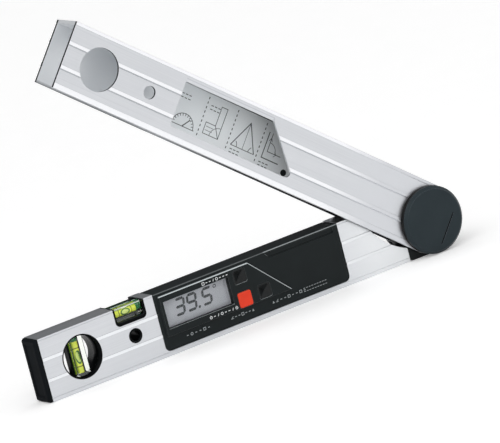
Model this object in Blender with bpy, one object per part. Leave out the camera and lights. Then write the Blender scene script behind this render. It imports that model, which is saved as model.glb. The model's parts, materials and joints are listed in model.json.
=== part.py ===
"""Digital angle finder: two aluminium legs on one hinge, with display, buttons and two spirit-level vials.

Metres, +Z up. The lower leg stands on its measuring face at height zero, with its far end at -X and its
front facing -Y. Each leg is modelled in a frame on the hinge axis: "reach" is the distance from that axis
along the leg, "height" is measured square to the leg, and "depth" runs from front (-) to back (+).
"""

import math

import bmesh
import bpy
from mathutils import Matrix, Vector

# Whole tool
OPEN_ANGLE = math.radians(39.5)
HINGE_HEIGHT = 0.0305
HUB_RADIUS = 0.03025
SEAT_GAP = 0.0003
OVERRUN = 0.002
LARGE_ROUND_STEPS = 64
SMALL_ROUND_STEPS = 32
CORNER_STEPS = 6

# Box profile of the lower leg
BASE_START = 0.0265
BASE_TAIL = 0.018
BASE_TOP = 0.0265
BASE_DEPTH = 0.024
BASE_WALL = 0.0022
BASE_RIB_SHARES = ((0.311, 0.361), (0.640, 0.693))
BASE_GROOVE_SHARES = ((0.056, 0.067), (0.965, 0.976))
RIB_RISE = 0.0004
RIB_EDGE = 0.0002
GROOVE_DEPTH = 0.0003

# Scallop that clears the spacer of the fold-out leg
SCALLOP_CENTRE_REACH = 0.0036
SCALLOP_FLOOR = 0.0083
SCALLOP_RADIUS = 0.064
SCALLOP_CLEARANCE = 0.001

# Hinge block, bearing and angle sensor
BLOCK_RADIUS = 0.0305
BLOCK_SHOULDER_HEIGHT = -0.018
BLOCK_CORNER = 0.003
TONGUE_END = 0.076
BUSH_RADIUS = 0.012
SENSOR_RECESS_RADIUS = 0.0225
SENSOR_RECESS_DEPTH = 0.006
DISC_RADIUS = 0.0205
DISC_THICKNESS = 0.0012
DISC_DEPTH_BELOW_FACE = 0.0024
DISC_SLOT_COUNT = 20
DISC_SLOT_MARGIN = 0.0012
DISC_SLOT_LENGTH = 0.0036
DISC_SLOT_SHARE = 0.5
READER_START = 0.0125
READER_LENGTH = 0.008
READER_HEIGHT = 0.012

# End cap
CAP_THICKNESS = 0.0037
CAP_CHAMFER = 0.0018
CAP_PLUG_LENGTH = 0.014
CAP_PLUG_WALL = 0.002
CAP_PANEL_MARGIN = 0.005
CAP_PANEL_DEPTH = 0.0007

# Display block: cover, well, panel, slot
DISPLAY_START = 0.0895
DISPLAY_LENGTH = 0.1933
DISPLAY_FLOOR = 0.0042
DISPLAY_CORNER = 0.005
DISPLAY_TOP_STEP = 0.0005
COVER_WALL = 0.002
COVER_EDGE = 0.0006
COVER_SKIRT = 0.0065
PANEL_MARGIN = 0.0043
PANEL_LENGTH = 0.1298
PANEL_LOW = -0.014
PANEL_HEIGHT = 0.037
PANEL_RISE = 0.0022
PANEL_EDGE = 0.0007
SLOT_MARGIN = 0.0052
SLOT_LENGTH = 0.0718
SLOT_LOW = 0.0198
SLOT_HEIGHT = 0.0045
SLOT_DEPTH = 0.0012
LCD_MARGIN_OUTER = 0.0033
LCD_LENGTH = 0.0673
LCD_LOW = -0.0073
LCD_HEIGHT = 0.0246
LCD_MARGIN = 0.0018
LCD_THICKNESS = 0.0013
WELL_WALL = 0.0015
WELL_LENGTH = 0.0014
LENS_THICKNESS = 0.0008
BOARD_THICKNESS = 0.0012
BOARD_MARGIN = 0.003

# Buttons
BUTTON_COLUMN_SPACING = 0.0115
MITRE_BUTTON_SPACING = 0.0203
HOLD_BUTTON_HEIGHT = 0.0144
POWER_BUTTON_HEIGHT = -0.0067
MITRE_BUTTON_HEIGHT = -0.0059
POWER_BUTTON_SIDE = 0.0135
BLACK_BUTTON_SIDE = 0.0122
BUTTON_CORNER = 0.0018
BUTTON_GAP = 0.0004
BUTTON_PROUD = 0.0005
BUTTON_TRAVEL = 0.0012
BUTTON_FLANGE = 0.001
BUTTON_FLANGE_THICKNESS = 0.001
BUTTON_STEM_RADIUS = 0.002
BUTTON_DIMPLE = 0.0014
BUTTON_RIM = 0.0008

# Battery compartment
CELL_RADIUS = 0.0071
CELL_LENGTH = 0.0505
CELL_NUB_RADIUS = 0.0026
CELL_NUB_LENGTH = 0.0012
CELL_EDGE = 0.0006
POCKET_MARGIN = 0.005
POCKET_HEIGHT = 0.0305
TRAY_FLOOR = 0.0008
CONTACT_THICKNESS = 0.0005
CONTACT_BUMP = 0.0012
CONTACT_CONE = 0.003
CONTACT_WIDTH = 0.011
DOOR_HEIGHT = 0.035
DOOR_THICKNESS = 0.0017
DOOR_MARGIN = 0.0012
THUMB_LENGTH = 0.016
THUMB_HEIGHT = 0.004
THUMB_DEPTH = 0.0007
LATCH_LENGTH = 0.012
LATCH_THICKNESS = 0.0009
LATCH_DEPTH = 0.0026
LATCH_SPACING = 0.058

# Upright vial in its round hole
PLUMB_SPACING = 0.0191
PLUMB_HOLE_RADIUS = 0.0197
PLUMB_RING_WALL = 0.0014
PLUMB_RAIL_WIDTH = 0.0034
PLUMB_RAIL_DEPTH = 0.010
PLUMB_VIAL_WIDTH = 0.0130
PLUMB_VIAL_DEPTH = 0.0130
PLUMB_FLUID_LENGTH = 0.0280
VIAL_FLOOR = 0.0022
VIAL_BORE_RADIUS = 0.0046
BUBBLE_RADIUS = 0.0027
BUBBLE_LENGTH = 0.0098
BUBBLE_SINK = 0.0012

# Level vial in its notch, hanging hole below it
NOTCH_SPACING = 0.0091
NOTCH_LENGTH = 0.0316
NOTCH_DEPTH = 0.0163
NOTCH_CORNER = 0.0044
CRADLE_WALL = 0.0018
CRADLE_FLOOR = 0.0034
LEVEL_VIAL_DEPTH = 0.016
LEVEL_VIAL_DROP = 0.0009
LEVEL_PLUG_LENGTH = 0.003
HANGING_HOLE_RADIUS = 0.00665
HANGING_BUSH_WALL = 0.0014

# U channel of the fold-out leg
FOLDOUT_SHORTER = 0.002
CHANNEL_DEPTH = 0.035
PLATE_WALL = 0.0025
WEB_WALL = 0.003
WEB_START = 0.018
BACK_PLATE_TRIM = 0.003
FOLDOUT_RIB_SHARES = ((0.0, 0.078), (0.292, 0.346), (0.654, 0.707), (0.950, 1.0))
FOLDOUT_GROOVE_SHARES = ((0.276, 0.290), (0.638, 0.652))
SPOT_FACE_DEPTH = 0.0001
ROUND_WINDOW_SHIFT = -0.0005
ROUND_WINDOW_RADIUS = 0.0191
SMALL_HOLE_SHIFT = 0.0005
SMALL_HOLE_RADIUS = 0.00585
WINDOW_TIP_SHIFT = 0.0009
WINDOW_SHOULDER_LENGTH = 0.0333
WINDOW_END_SHIFT = -0.0003
WINDOW_LOW = -0.0190
WINDOW_HIGH = 0.0222
WINDOW_CORNER = 0.0025
WINDOW_TIP_CORNER = 0.0045
WINDOW_BEVEL_WIDTH = 0.0035
WINDOW_BEVEL_DEPTH = 0.0012
WINDOW_TIP_DROP = 0.0055
LABEL_MARGIN = 0.004
LABEL_TAIL = 0.0316
LABEL_THICKNESS = 0.0003

# Hinge stack
AXLE_RADIUS = 0.0097
AXLE_FLANGE_RADIUS = 0.016
AXLE_FLANGE_THICKNESS = 0.002
STUD_RADIUS = 0.004
STUD_HEAD_RADIUS = 0.0075
STUD_HEAD_THICKNESS = 0.0026
HUB_CAP_THICKNESS = 0.0072
HUB_CAP_WALL = 0.0017
HUB_CAP_CHAMFER = 0.0026
HUB_GROOVE_OFFSET = 0.0152
HUB_GROOVE_LOW = -0.017
HUB_GROOVE_LENGTH = 0.030
HUB_GROOVE_WIDTH = 0.0011
HUB_GROOVE_DEPTH = 0.0006
WASHER_OUTER_RADIUS = 0.029
WASHER_INNER_RADIUS = 0.0245
REAR_HUB_THICKNESS = 0.003
REAR_HUB_CHAMFER = 0.001
KNOB_RADIUS = 0.019
KNOB_THICKNESS = 0.0095
KNOB_CHAMFER = 0.0012
KNOB_LOBE_COUNT = 12
KNOB_LOBE_STEPS = 8
KNOB_LOBE_DEPTH = 0.0016
KNOB_CEILING = 0.003
SPACER_START = 0.020
SPACER_HUB_CLEARANCE = 0.0008

# Places worked out from the sizes
DISPLAY_END = DISPLAY_START + DISPLAY_LENGTH
NOTCH_REACH = DISPLAY_END + NOTCH_SPACING + NOTCH_LENGTH / 2
PLUMB_REACH = NOTCH_REACH + NOTCH_LENGTH / 2 + PLUMB_SPACING + PLUMB_HOLE_RADIUS
BASE_END = PLUMB_REACH + PLUMB_HOLE_RADIUS + BASE_TAIL
BASE_BOTTOM = -HINGE_HEIGHT
BASE_MIDDLE = (BASE_TOP + BASE_BOTTOM) / 2
SCALLOP_CENTRE_HEIGHT = BASE_BOTTOM + SCALLOP_FLOOR + SCALLOP_RADIUS
BASE_FRONT = -BASE_DEPTH / 2
BASE_BACK = BASE_DEPTH / 2
BASE_INNER_FRONT = BASE_FRONT + BASE_WALL
BASE_INNER_BACK = BASE_BACK - BASE_WALL
BASE_INNER_BOTTOM = BASE_BOTTOM + BASE_WALL
BASE_INNER_TOP = BASE_TOP - BASE_WALL
HINGE_X = (BASE_START + BASE_END) / 2

DISPLAY_BOTTOM = BASE_BOTTOM + DISPLAY_FLOOR
COVER_START = DISPLAY_START + SEAT_GAP
COVER_END = DISPLAY_END - SEAT_GAP
COVER_BOTTOM = DISPLAY_BOTTOM + SEAT_GAP
COVER_TOP = BASE_TOP - DISPLAY_TOP_STEP
COVER_BACK = BASE_FRONT + COVER_SKIRT
COVER_INNER = BASE_FRONT + COVER_WALL
HOOD_BOTTOM = BASE_INNER_TOP + SEAT_GAP
PANEL_FACE = BASE_FRONT - PANEL_RISE
PANEL_END = DISPLAY_END - PANEL_MARGIN
PANEL_TIP = PANEL_END - PANEL_LENGTH
SLOT_START = DISPLAY_START + SLOT_MARGIN
LCD_END = PANEL_END - LCD_MARGIN_OUTER
LCD_START = LCD_END - LCD_LENGTH
LCD_HIGH = LCD_LOW + LCD_HEIGHT
BUTTON_COLUMN_REACH = LCD_START - BUTTON_COLUMN_SPACING
MITRE_BUTTON_REACH = BUTTON_COLUMN_REACH - MITRE_BUTTON_SPACING
WELL_BACK = COVER_INNER + WELL_LENGTH
LCD_FACE = WELL_BACK + SEAT_GAP
BOARD_FACE = LCD_FACE + LCD_THICKNESS + SEAT_GAP
BOARD_BACK = BOARD_FACE + BOARD_THICKNESS
TRAY_FACE = BOARD_BACK + SEAT_GAP
TRAY_BACK = BASE_INNER_BACK - SEAT_GAP
TRAY_TOP = HOOD_BOTTOM - SEAT_GAP
TRAY_BOTTOM = BASE_INNER_BOTTOM + SEAT_GAP
TRAY_START = DISPLAY_START + COVER_WALL
TRAY_END = DISPLAY_END - COVER_WALL
POCKET_START = DISPLAY_START + POCKET_MARGIN
POCKET_FLOOR = TRAY_FACE + TRAY_FLOOR
CELL_DEPTH = POCKET_FLOOR + SEAT_GAP + CELL_RADIUS
CELL_ROW_OFFSET = CELL_RADIUS + SEAT_GAP / 2
FIRST_CELL_START = POCKET_START + SEAT_GAP + CONTACT_THICKNESS + CONTACT_BUMP + SEAT_GAP
SECOND_CELL_START = FIRST_CELL_START + CELL_LENGTH + SEAT_GAP
POCKET_END = SECOND_CELL_START + CELL_LENGTH + SEAT_GAP + CONTACT_CONE + CONTACT_THICKNESS + SEAT_GAP
DOOR_START = POCKET_START - DOOR_MARGIN
DOOR_END = POCKET_END + DOOR_MARGIN
DOOR_LOW = BASE_MIDDLE - DOOR_HEIGHT / 2
DOOR_TOP = BASE_MIDDLE + DOOR_HEIGHT / 2

CHANNEL_FRONT = -CHANNEL_DEPTH / 2
CHANNEL_BACK = CHANNEL_DEPTH / 2
CHANNEL_INNER_FRONT = CHANNEL_FRONT + PLATE_WALL
CHANNEL_INNER_BACK = CHANNEL_BACK - PLATE_WALL
FOLDOUT_END = BASE_END - FOLDOUT_SHORTER
FOLDOUT_TOP = HUB_RADIUS
FOLDOUT_BOTTOM = -HUB_RADIUS
WEB_INNER = FOLDOUT_TOP - WEB_WALL
ROUND_WINDOW_REACH = PLUMB_REACH + ROUND_WINDOW_SHIFT
SMALL_HOLE_REACH = NOTCH_REACH + SMALL_HOLE_SHIFT
WINDOW_TIP = PANEL_TIP + WINDOW_TIP_SHIFT
WINDOW_SHOULDER = WINDOW_TIP + WINDOW_SHOULDER_LENGTH
WINDOW_END = PANEL_END + WINDOW_END_SHIFT
HUB_SEAT_FRONT = CHANNEL_FRONT + SPOT_FACE_DEPTH - SEAT_GAP
HUB_SEAT_BACK = CHANNEL_BACK - SPOT_FACE_DEPTH + SEAT_GAP
HUB_CAP_FACE = HUB_SEAT_FRONT - HUB_CAP_THICKNESS
REAR_HUB_FACE = HUB_SEAT_BACK + REAR_HUB_THICKNESS
AXLE_HOLE_RADIUS = AXLE_RADIUS + SEAT_GAP
STUD_HOLE_RADIUS = STUD_RADIUS + SEAT_GAP
STUD_HEAD_FACE = HUB_SEAT_FRONT - AXLE_FLANGE_THICKNESS - SEAT_GAP
KNOB_SEAT = REAR_HUB_FACE + SEAT_GAP
DISC_BACK = BASE_FRONT + DISC_DEPTH_BELOW_FACE + DISC_THICKNESS


# Frames and materials

def clear_scene():
    for item in list(bpy.data.objects):
        bpy.data.objects.remove(item, do_unlink=True)


def add_frame(name, place, turn=0.0, parent=None):
    """An empty on an axis; turn is its angle about the hinge direction, Y."""
    frame = bpy.data.objects.new(name, None)
    frame.location = place
    frame.rotation_euler = (0.0, turn, 0.0)
    frame.parent = parent
    bpy.context.scene.collection.objects.link(frame)
    return frame


def make_material(name, colour, roughness, metallic=0.0, alpha=1.0):
    material = bpy.data.materials.new(name)
    material.use_nodes = True
    shader = material.node_tree.nodes["Principled BSDF"]
    shader.inputs["Base Color"].default_value = (*colour, 1.0)
    shader.inputs["Roughness"].default_value = roughness
    shader.inputs["Metallic"].default_value = metallic
    shader.inputs["Alpha"].default_value = alpha
    return material


def aluminium():
    return make_material("anodised_aluminium", (0.66, 0.67, 0.69), 0.38, 1.0)


def black_plastic():
    return make_material("black_plastic", (0.018, 0.020, 0.021), 0.42)


def red_plastic():
    return make_material("red_plastic", (0.83, 0.055, 0.025), 0.40)


def clear_plastic():
    return make_material("clear_acrylic", (0.90, 0.93, 0.90), 0.06, alpha=0.35)


def vial_fluid():
    return make_material("vial_fluid", (0.62, 0.78, 0.05), 0.10, alpha=0.7)


def green_plastic():
    return make_material("green_plastic", (0.02, 0.32, 0.12), 0.25)


def steel():
    return make_material("steel", (0.50, 0.50, 0.51), 0.32, 1.0)


def bearing_plastic():
    return make_material("bearing_plastic", (0.75, 0.74, 0.70), 0.50)


def board_laminate():
    return make_material("board_laminate", (0.02, 0.18, 0.07), 0.45)


def display_glass():
    return make_material("display_glass", (0.36, 0.38, 0.38), 0.20)


def label_film():
    return make_material("label_film", (0.50, 0.55, 0.55), 0.45)


def cell_sleeve():
    return make_material("cell_sleeve", (0.10, 0.11, 0.13), 0.30)


# Outlines, as (reach, height) points that run round once

def arc(reach, height, radius, start, end, steps):
    """Points on an arc, both ends included, angles in degrees."""
    points = []
    for step in range(steps + 1):
        angle = math.radians(start + (end - start) * step / steps)
        points.append((reach + radius * math.cos(angle), height + radius * math.sin(angle)))
    return points


def circle(reach, height, radius, steps):
    return arc(reach, height, radius, 0.0, 360.0, steps)[:-1]


def box_outline(reach_low, reach_high, low, high):
    return [(reach_low, low), (reach_high, low), (reach_high, high), (reach_low, high)]


def rounded(points, radii):
    """The outline with each corner replaced by an arc of its own radius; a radius of zero keeps it sharp."""
    result = []
    count = len(points)
    for index, radius in enumerate(radii):
        corner = Vector(points[index])
        if radius == 0:
            result.append(tuple(corner))
            continue
        before = (Vector(points[index - 1]) - corner).normalized()
        after = (Vector(points[(index + 1) % count]) - corner).normalized()
        half = before.angle(after) / 2
        setback = radius / math.tan(half)
        centre = corner + (before + after).normalized() * radius / math.sin(half)
        first = corner + before * setback - centre
        last = corner + after * setback - centre
        sweep = first.angle_signed(last)
        for step in range(CORNER_STEPS + 1):
            turned_point = first.copy()
            turned_point.rotate(Matrix.Rotation(-sweep * step / CORNER_STEPS, 2))
            result.append(tuple(centre + turned_point))
    return result


# Solids

def finish_mesh(name, builder, material, parent, smooth=True):
    """Turn a bmesh into a named object on its frame, with outward faces."""
    bmesh.ops.remove_doubles(builder, verts=builder.verts, dist=OVERRUN * 1e-4)
    bmesh.ops.recalc_face_normals(builder, faces=builder.faces)
    mesh = bpy.data.meshes.new(name)
    builder.to_mesh(mesh)
    builder.free()
    if smooth:
        mesh.shade_smooth()
        mesh.set_sharp_from_angle(angle=math.radians(35.0))
    item = bpy.data.objects.new(name, mesh)
    item.parent = parent
    if material is not None:
        mesh.materials.append(material)
    bpy.context.scene.collection.objects.link(item)
    return item


def sweep_face(builder, points, offset):
    """Extrude one flat polygon by an offset vector."""
    corners = [builder.verts.new(point) for point in points]
    face = builder.faces.new(corners)
    swept = bmesh.ops.extrude_face_region(builder, geom=[face])
    moved = [item for item in swept["geom"] if isinstance(item, bmesh.types.BMVert)]
    bmesh.ops.translate(builder, verts=moved, vec=offset)


def plate(name, outline, front, back, material=None, parent=None):
    """A (reach, height) outline given thickness from front to back."""
    builder = bmesh.new()
    points = [(-reach, front, height) for reach, height in outline]
    sweep_face(builder, points, Vector((0.0, back - front, 0.0)))
    return finish_mesh(name, builder, material, parent)


def bar(name, section, start, end, material=None, parent=None):
    """A (depth, height) section drawn out along the leg from one reach to another."""
    builder = bmesh.new()
    points = [(-start, depth, height) for depth, height in section]
    sweep_face(builder, points, Vector((start - end, 0.0, 0.0)))
    return finish_mesh(name, builder, material, parent)


def turned(name, profile, reach, height, steps, material=None, parent=None):
    """A (radius, depth) profile turned once about an axis that runs from front to back."""
    builder = bmesh.new()
    ring = [builder.verts.new((radius - reach, depth, height)) for radius, depth in profile]
    edges = [builder.edges.new(pair) for pair in zip(ring, ring[1:])]
    if profile[0][0] > 0:
        edges.append(builder.edges.new((ring[-1], ring[0])))
    bmesh.ops.spin(
        builder,
        geom=ring + edges,
        cent=(-reach, 0.0, height),
        axis=(0.0, 1.0, 0.0),
        angle=math.tau,
        steps=steps,
        use_merge=True,
    )
    return finish_mesh(name, builder, material, parent)


def lathe_along_leg(name, profile, depth, height, steps, material=None, parent=None):
    """A (radius, reach) profile turned once about an axis that runs along the leg."""
    builder = bmesh.new()
    ring = [builder.verts.new((-reach, depth, height + radius)) for radius, reach in profile]
    edges = [builder.edges.new(pair) for pair in zip(ring, ring[1:])]
    bmesh.ops.spin(
        builder,
        geom=ring + edges,
        cent=(0.0, depth, height),
        axis=(1.0, 0.0, 0.0),
        angle=math.tau,
        steps=steps,
        use_merge=True,
    )
    return finish_mesh(name, builder, material, parent)


def lathe_upright(name, profile, reach, depth, steps, material=None, parent=None):
    """A (radius, height) profile turned once about an upright axis."""
    builder = bmesh.new()
    ring = [builder.verts.new((radius - reach, depth, height)) for radius, height in profile]
    edges = [builder.edges.new(pair) for pair in zip(ring, ring[1:])]
    bmesh.ops.spin(
        builder,
        geom=ring + edges,
        cent=(-reach, depth, 0.0),
        axis=(0.0, 0.0, 1.0),
        angle=math.tau,
        steps=steps,
        use_merge=True,
    )
    return finish_mesh(name, builder, material, parent)


def ellipsoid(name, centre, radii, parent):
    """A bubble shape, used as a cutter."""
    builder = bmesh.new()
    shape = Matrix.Translation(centre) @ Matrix.Diagonal((*radii, 1.0))
    bmesh.ops.create_uvsphere(builder, u_segments=16, v_segments=10, radius=1.0, matrix=shape)
    return finish_mesh(name, builder, None, parent)


def combine(target, other, operation):
    """Cut, join or intersect with a helper that isn't itself part of the tool."""
    other.hide_render = True
    other.display_type = "WIRE"
    change = target.modifiers.new(other.name, "BOOLEAN")
    change.operation = operation
    change.object = other
    change.solver = "EXACT"


def cut(target, *cutters):
    for cutter in cutters:
        combine(target, cutter, "DIFFERENCE")


def join(target, *others):
    for other in others:
        combine(target, other, "UNION")


def keep_inside(target, limit):
    combine(target, limit, "INTERSECT")


def bevel(target, width, segments=1, angle=60.0):
    change = target.modifiers.new("edges", "BEVEL")
    change.width = width
    change.segments = segments
    change.limit_method = "ANGLE"
    change.angle_limit = math.radians(angle)


# Ribbed faces of both legs

def ribbed_face(face, outward, bottom, top, ribs, grooves):
    """Section points up one face, with raised ribs and sunk grooves at shares of its height."""
    tall = top - bottom
    steps = [(low, high, RIB_RISE) for low, high in ribs]
    steps += [(low, high, -GROOVE_DEPTH) for low, high in grooves]
    points = []
    for low_share, high_share, rise in sorted(steps):
        low = bottom + tall * low_share
        high = bottom + tall * high_share
        level = face + outward * rise
        points += [(face, low), (level, low + RIB_EDGE), (level, high - RIB_EDGE), (face, high)]
    return points


# Lower leg

def base_section():
    front = ribbed_face(BASE_FRONT, -1.0, BASE_BOTTOM, BASE_TOP, BASE_RIB_SHARES, BASE_GROOVE_SHARES)
    back = ribbed_face(BASE_BACK, 1.0, BASE_BOTTOM, BASE_TOP, BASE_RIB_SHARES, BASE_GROOVE_SHARES)
    corners_front = [(BASE_FRONT, BASE_TOP), (BASE_BACK, BASE_TOP)]
    corners_back = [(BASE_BACK, BASE_BOTTOM), (BASE_FRONT, BASE_BOTTOM)]
    return front + corners_front + back[::-1] + corners_back


def scallop_cylinder(name, radius, parent):
    outline = circle(SCALLOP_CENTRE_REACH, SCALLOP_CENTRE_HEIGHT, radius, LARGE_ROUND_STEPS * 2)
    return plate(name, outline, BASE_FRONT - OVERRUN, BASE_BACK + OVERRUN, None, parent)


def notch_outline(inset, floor_inset, above):
    """The notch, drawn smaller by an inset at its sides and another at its floor."""
    low = BASE_TOP - NOTCH_DEPTH + floor_inset
    start = NOTCH_REACH - NOTCH_LENGTH / 2 + inset
    end = NOTCH_REACH + NOTCH_LENGTH / 2 - inset
    corner = NOTCH_CORNER - inset
    return rounded(box_outline(start, end, low, BASE_TOP + above), (corner, corner, 0, 0))


def display_outline(inset, above):
    start = DISPLAY_START + inset
    end = DISPLAY_END - inset
    bottom = DISPLAY_BOTTOM + inset
    corner = DISPLAY_CORNER - inset
    return rounded(box_outline(start, end, bottom, above), (corner, corner, 0, 0))


def build_base_profile(parent, metal):
    profile = bar("base_profile", base_section(), BASE_START, BASE_END, metal, parent)
    hollow_section = box_outline(BASE_INNER_FRONT, BASE_INNER_BACK, BASE_INNER_BOTTOM, BASE_INNER_TOP)
    hollow = bar("cut_base_hollow", hollow_section, BASE_START - OVERRUN, BASE_END + OVERRUN, None, parent)
    front = BASE_FRONT - OVERRUN
    back = BASE_BACK + OVERRUN
    plumb_hole = circle(PLUMB_REACH, BASE_MIDDLE, PLUMB_HOLE_RADIUS, LARGE_ROUND_STEPS)
    hanging_hole = circle(NOTCH_REACH, BASE_MIDDLE, HANGING_HOLE_RADIUS, SMALL_ROUND_STEPS)
    display = display_outline(0.0, BASE_TOP + OVERRUN)
    display_top = box_outline(DISPLAY_START, DISPLAY_END, BASE_INNER_TOP, BASE_TOP + OVERRUN)
    door = box_outline(
        DOOR_START - SEAT_GAP, DOOR_END + SEAT_GAP, DOOR_LOW - SEAT_GAP, DOOR_TOP + SEAT_GAP
    )
    cut(
        profile,
        hollow,
        plate("cut_plumb_hole", plumb_hole, front, back, None, parent),
        plate("cut_hanging_hole", hanging_hole, front, back, None, parent),
        plate("cut_notch", notch_outline(0.0, 0.0, OVERRUN), front, back, None, parent),
        plate("cut_display", display, front, BASE_INNER_BACK, None, parent),
        plate("cut_display_top", display_top, BASE_MIDDLE, back, None, parent),
        plate("cut_door", door, BASE_MIDDLE, back, None, parent),
        scallop_cylinder("cut_scallop", SCALLOP_RADIUS, parent),
    )
    return profile


def build_end_cap(parent, plastic):
    start = BASE_END + SEAT_GAP
    end = start + CAP_THICKNESS
    section = box_outline(BASE_FRONT, BASE_BACK, BASE_BOTTOM, BASE_TOP)
    cap = bar("end_cap", section, start - CAP_CHAMFER, end, plastic, parent)
    bevel(cap, CAP_CHAMFER)
    seat_section = box_outline(
        BASE_FRONT - OVERRUN, BASE_BACK + OVERRUN, BASE_BOTTOM - OVERRUN, BASE_TOP + OVERRUN
    )
    plug_gap = BASE_WALL + SEAT_GAP
    plug_wall = plug_gap + CAP_PLUG_WALL
    plug_start = start - CAP_PLUG_LENGTH
    cut(cap, bar("cut_cap_seat", seat_section, start - CAP_CHAMFER - OVERRUN, start, None, parent))
    join(cap, bar("join_cap_plug", inset_section(plug_gap), plug_start, start + SEAT_GAP, None, parent))
    cut(
        cap,
        bar("cut_cap_plug", inset_section(plug_wall), plug_start - OVERRUN, start, None, parent),
        bar(
            "cut_cap_panel",
            inset_section(CAP_PANEL_MARGIN),
            end - CAP_PANEL_DEPTH,
            end + OVERRUN,
            None,
            parent,
        ),
    )
    return cap


def inset_section(inset):
    """The lower leg's outline, drawn smaller on all sides."""
    return box_outline(BASE_FRONT + inset, BASE_BACK - inset, BASE_BOTTOM + inset, BASE_TOP - inset)


def build_hinge_block(parent, plastic):
    disc = circle(0.0, 0.0, BLOCK_RADIUS, LARGE_ROUND_STEPS)
    block = plate("hinge_block", disc, BASE_FRONT, BASE_BACK, plastic, parent)
    heel_outline = rounded(
        box_outline(0.0, BASE_START - SEAT_GAP, BASE_BOTTOM, BLOCK_SHOULDER_HEIGHT),
        (0, BLOCK_CORNER, 0, 0),
    )
    heel = plate("join_block_heel", heel_outline, BASE_FRONT, BASE_BACK, None, parent)
    tongue_outline = box_outline(
        BUSH_RADIUS, TONGUE_END, BASE_INNER_BOTTOM + SEAT_GAP, BASE_INNER_TOP - SEAT_GAP
    )
    tongue_front = BASE_INNER_FRONT + SEAT_GAP
    tongue = plate("join_block_tongue", tongue_outline, tongue_front, -tongue_front, None, parent)
    cut(tongue, scallop_cylinder("cut_tongue_top", SCALLOP_RADIUS + SEAT_GAP, parent))
    join(block, heel, tongue)
    bore = circle(0.0, 0.0, BUSH_RADIUS + SEAT_GAP, SMALL_ROUND_STEPS)
    sensor = circle(0.0, 0.0, SENSOR_RECESS_RADIUS, LARGE_ROUND_STEPS)
    sensor_floor = BASE_FRONT + SENSOR_RECESS_DEPTH
    cut(
        block,
        plate("cut_block_bore", bore, BASE_FRONT - OVERRUN, BASE_BACK + OVERRUN, None, parent),
        plate("cut_sensor_recess", sensor, BASE_FRONT - OVERRUN, sensor_floor, None, parent),
    )
    return block


def tube_profile(inner, outer, front, back):
    return [(inner, front), (outer, front), (outer, back), (inner, back)]


def build_bearing(parent, bearing, board):
    sensor_floor = BASE_FRONT + SENSOR_RECESS_DEPTH
    bush = tube_profile(AXLE_HOLE_RADIUS, BUSH_RADIUS, sensor_floor + SEAT_GAP, BASE_BACK - SEAT_GAP)
    front = tube_profile(
        WASHER_INNER_RADIUS, WASHER_OUTER_RADIUS, CHANNEL_INNER_FRONT + SEAT_GAP, BASE_FRONT - SEAT_GAP
    )
    rear = tube_profile(
        BUSH_RADIUS, WASHER_OUTER_RADIUS, BASE_BACK + SEAT_GAP, CHANNEL_INNER_BACK - SEAT_GAP
    )
    turned("hinge_bush", bush, 0.0, 0.0, SMALL_ROUND_STEPS, bearing, parent)
    turned("front_thrust_washer", front, 0.0, 0.0, SMALL_ROUND_STEPS, bearing, parent)
    turned("rear_thrust_washer", rear, 0.0, 0.0, SMALL_ROUND_STEPS, bearing, parent)
    reader = box_outline(READER_START, READER_START + READER_LENGTH, -READER_HEIGHT / 2, READER_HEIGHT / 2)
    plate("encoder_reader", reader, DISC_BACK + SEAT_GAP, sensor_floor - SEAT_GAP, board, parent)


# Display block

def panel_outline():
    high = PANEL_LOW + PANEL_HEIGHT
    shoulder = PANEL_TIP + PANEL_HEIGHT
    return [(PANEL_TIP, PANEL_LOW), (PANEL_END, PANEL_LOW), (PANEL_END, high), (shoulder, high)]


def square_outline(side, corner):
    half = side / 2
    return rounded(box_outline(-half, half, -half, half), (corner,) * 4)


def moved(outline, reach, height):
    return [(point[0] + reach, point[1] + height) for point in outline]


def button_places():
    """Name, reach, height, side and how far each button stands proud of the panel."""
    return (
        ("hold_button", BUTTON_COLUMN_REACH, HOLD_BUTTON_HEIGHT, BLACK_BUTTON_SIDE, 0.0),
        ("power_button", BUTTON_COLUMN_REACH, POWER_BUTTON_HEIGHT, POWER_BUTTON_SIDE, BUTTON_PROUD),
        ("mitre_button", MITRE_BUTTON_REACH, MITRE_BUTTON_HEIGHT, BLACK_BUTTON_SIDE, 0.0),
    )


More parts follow.
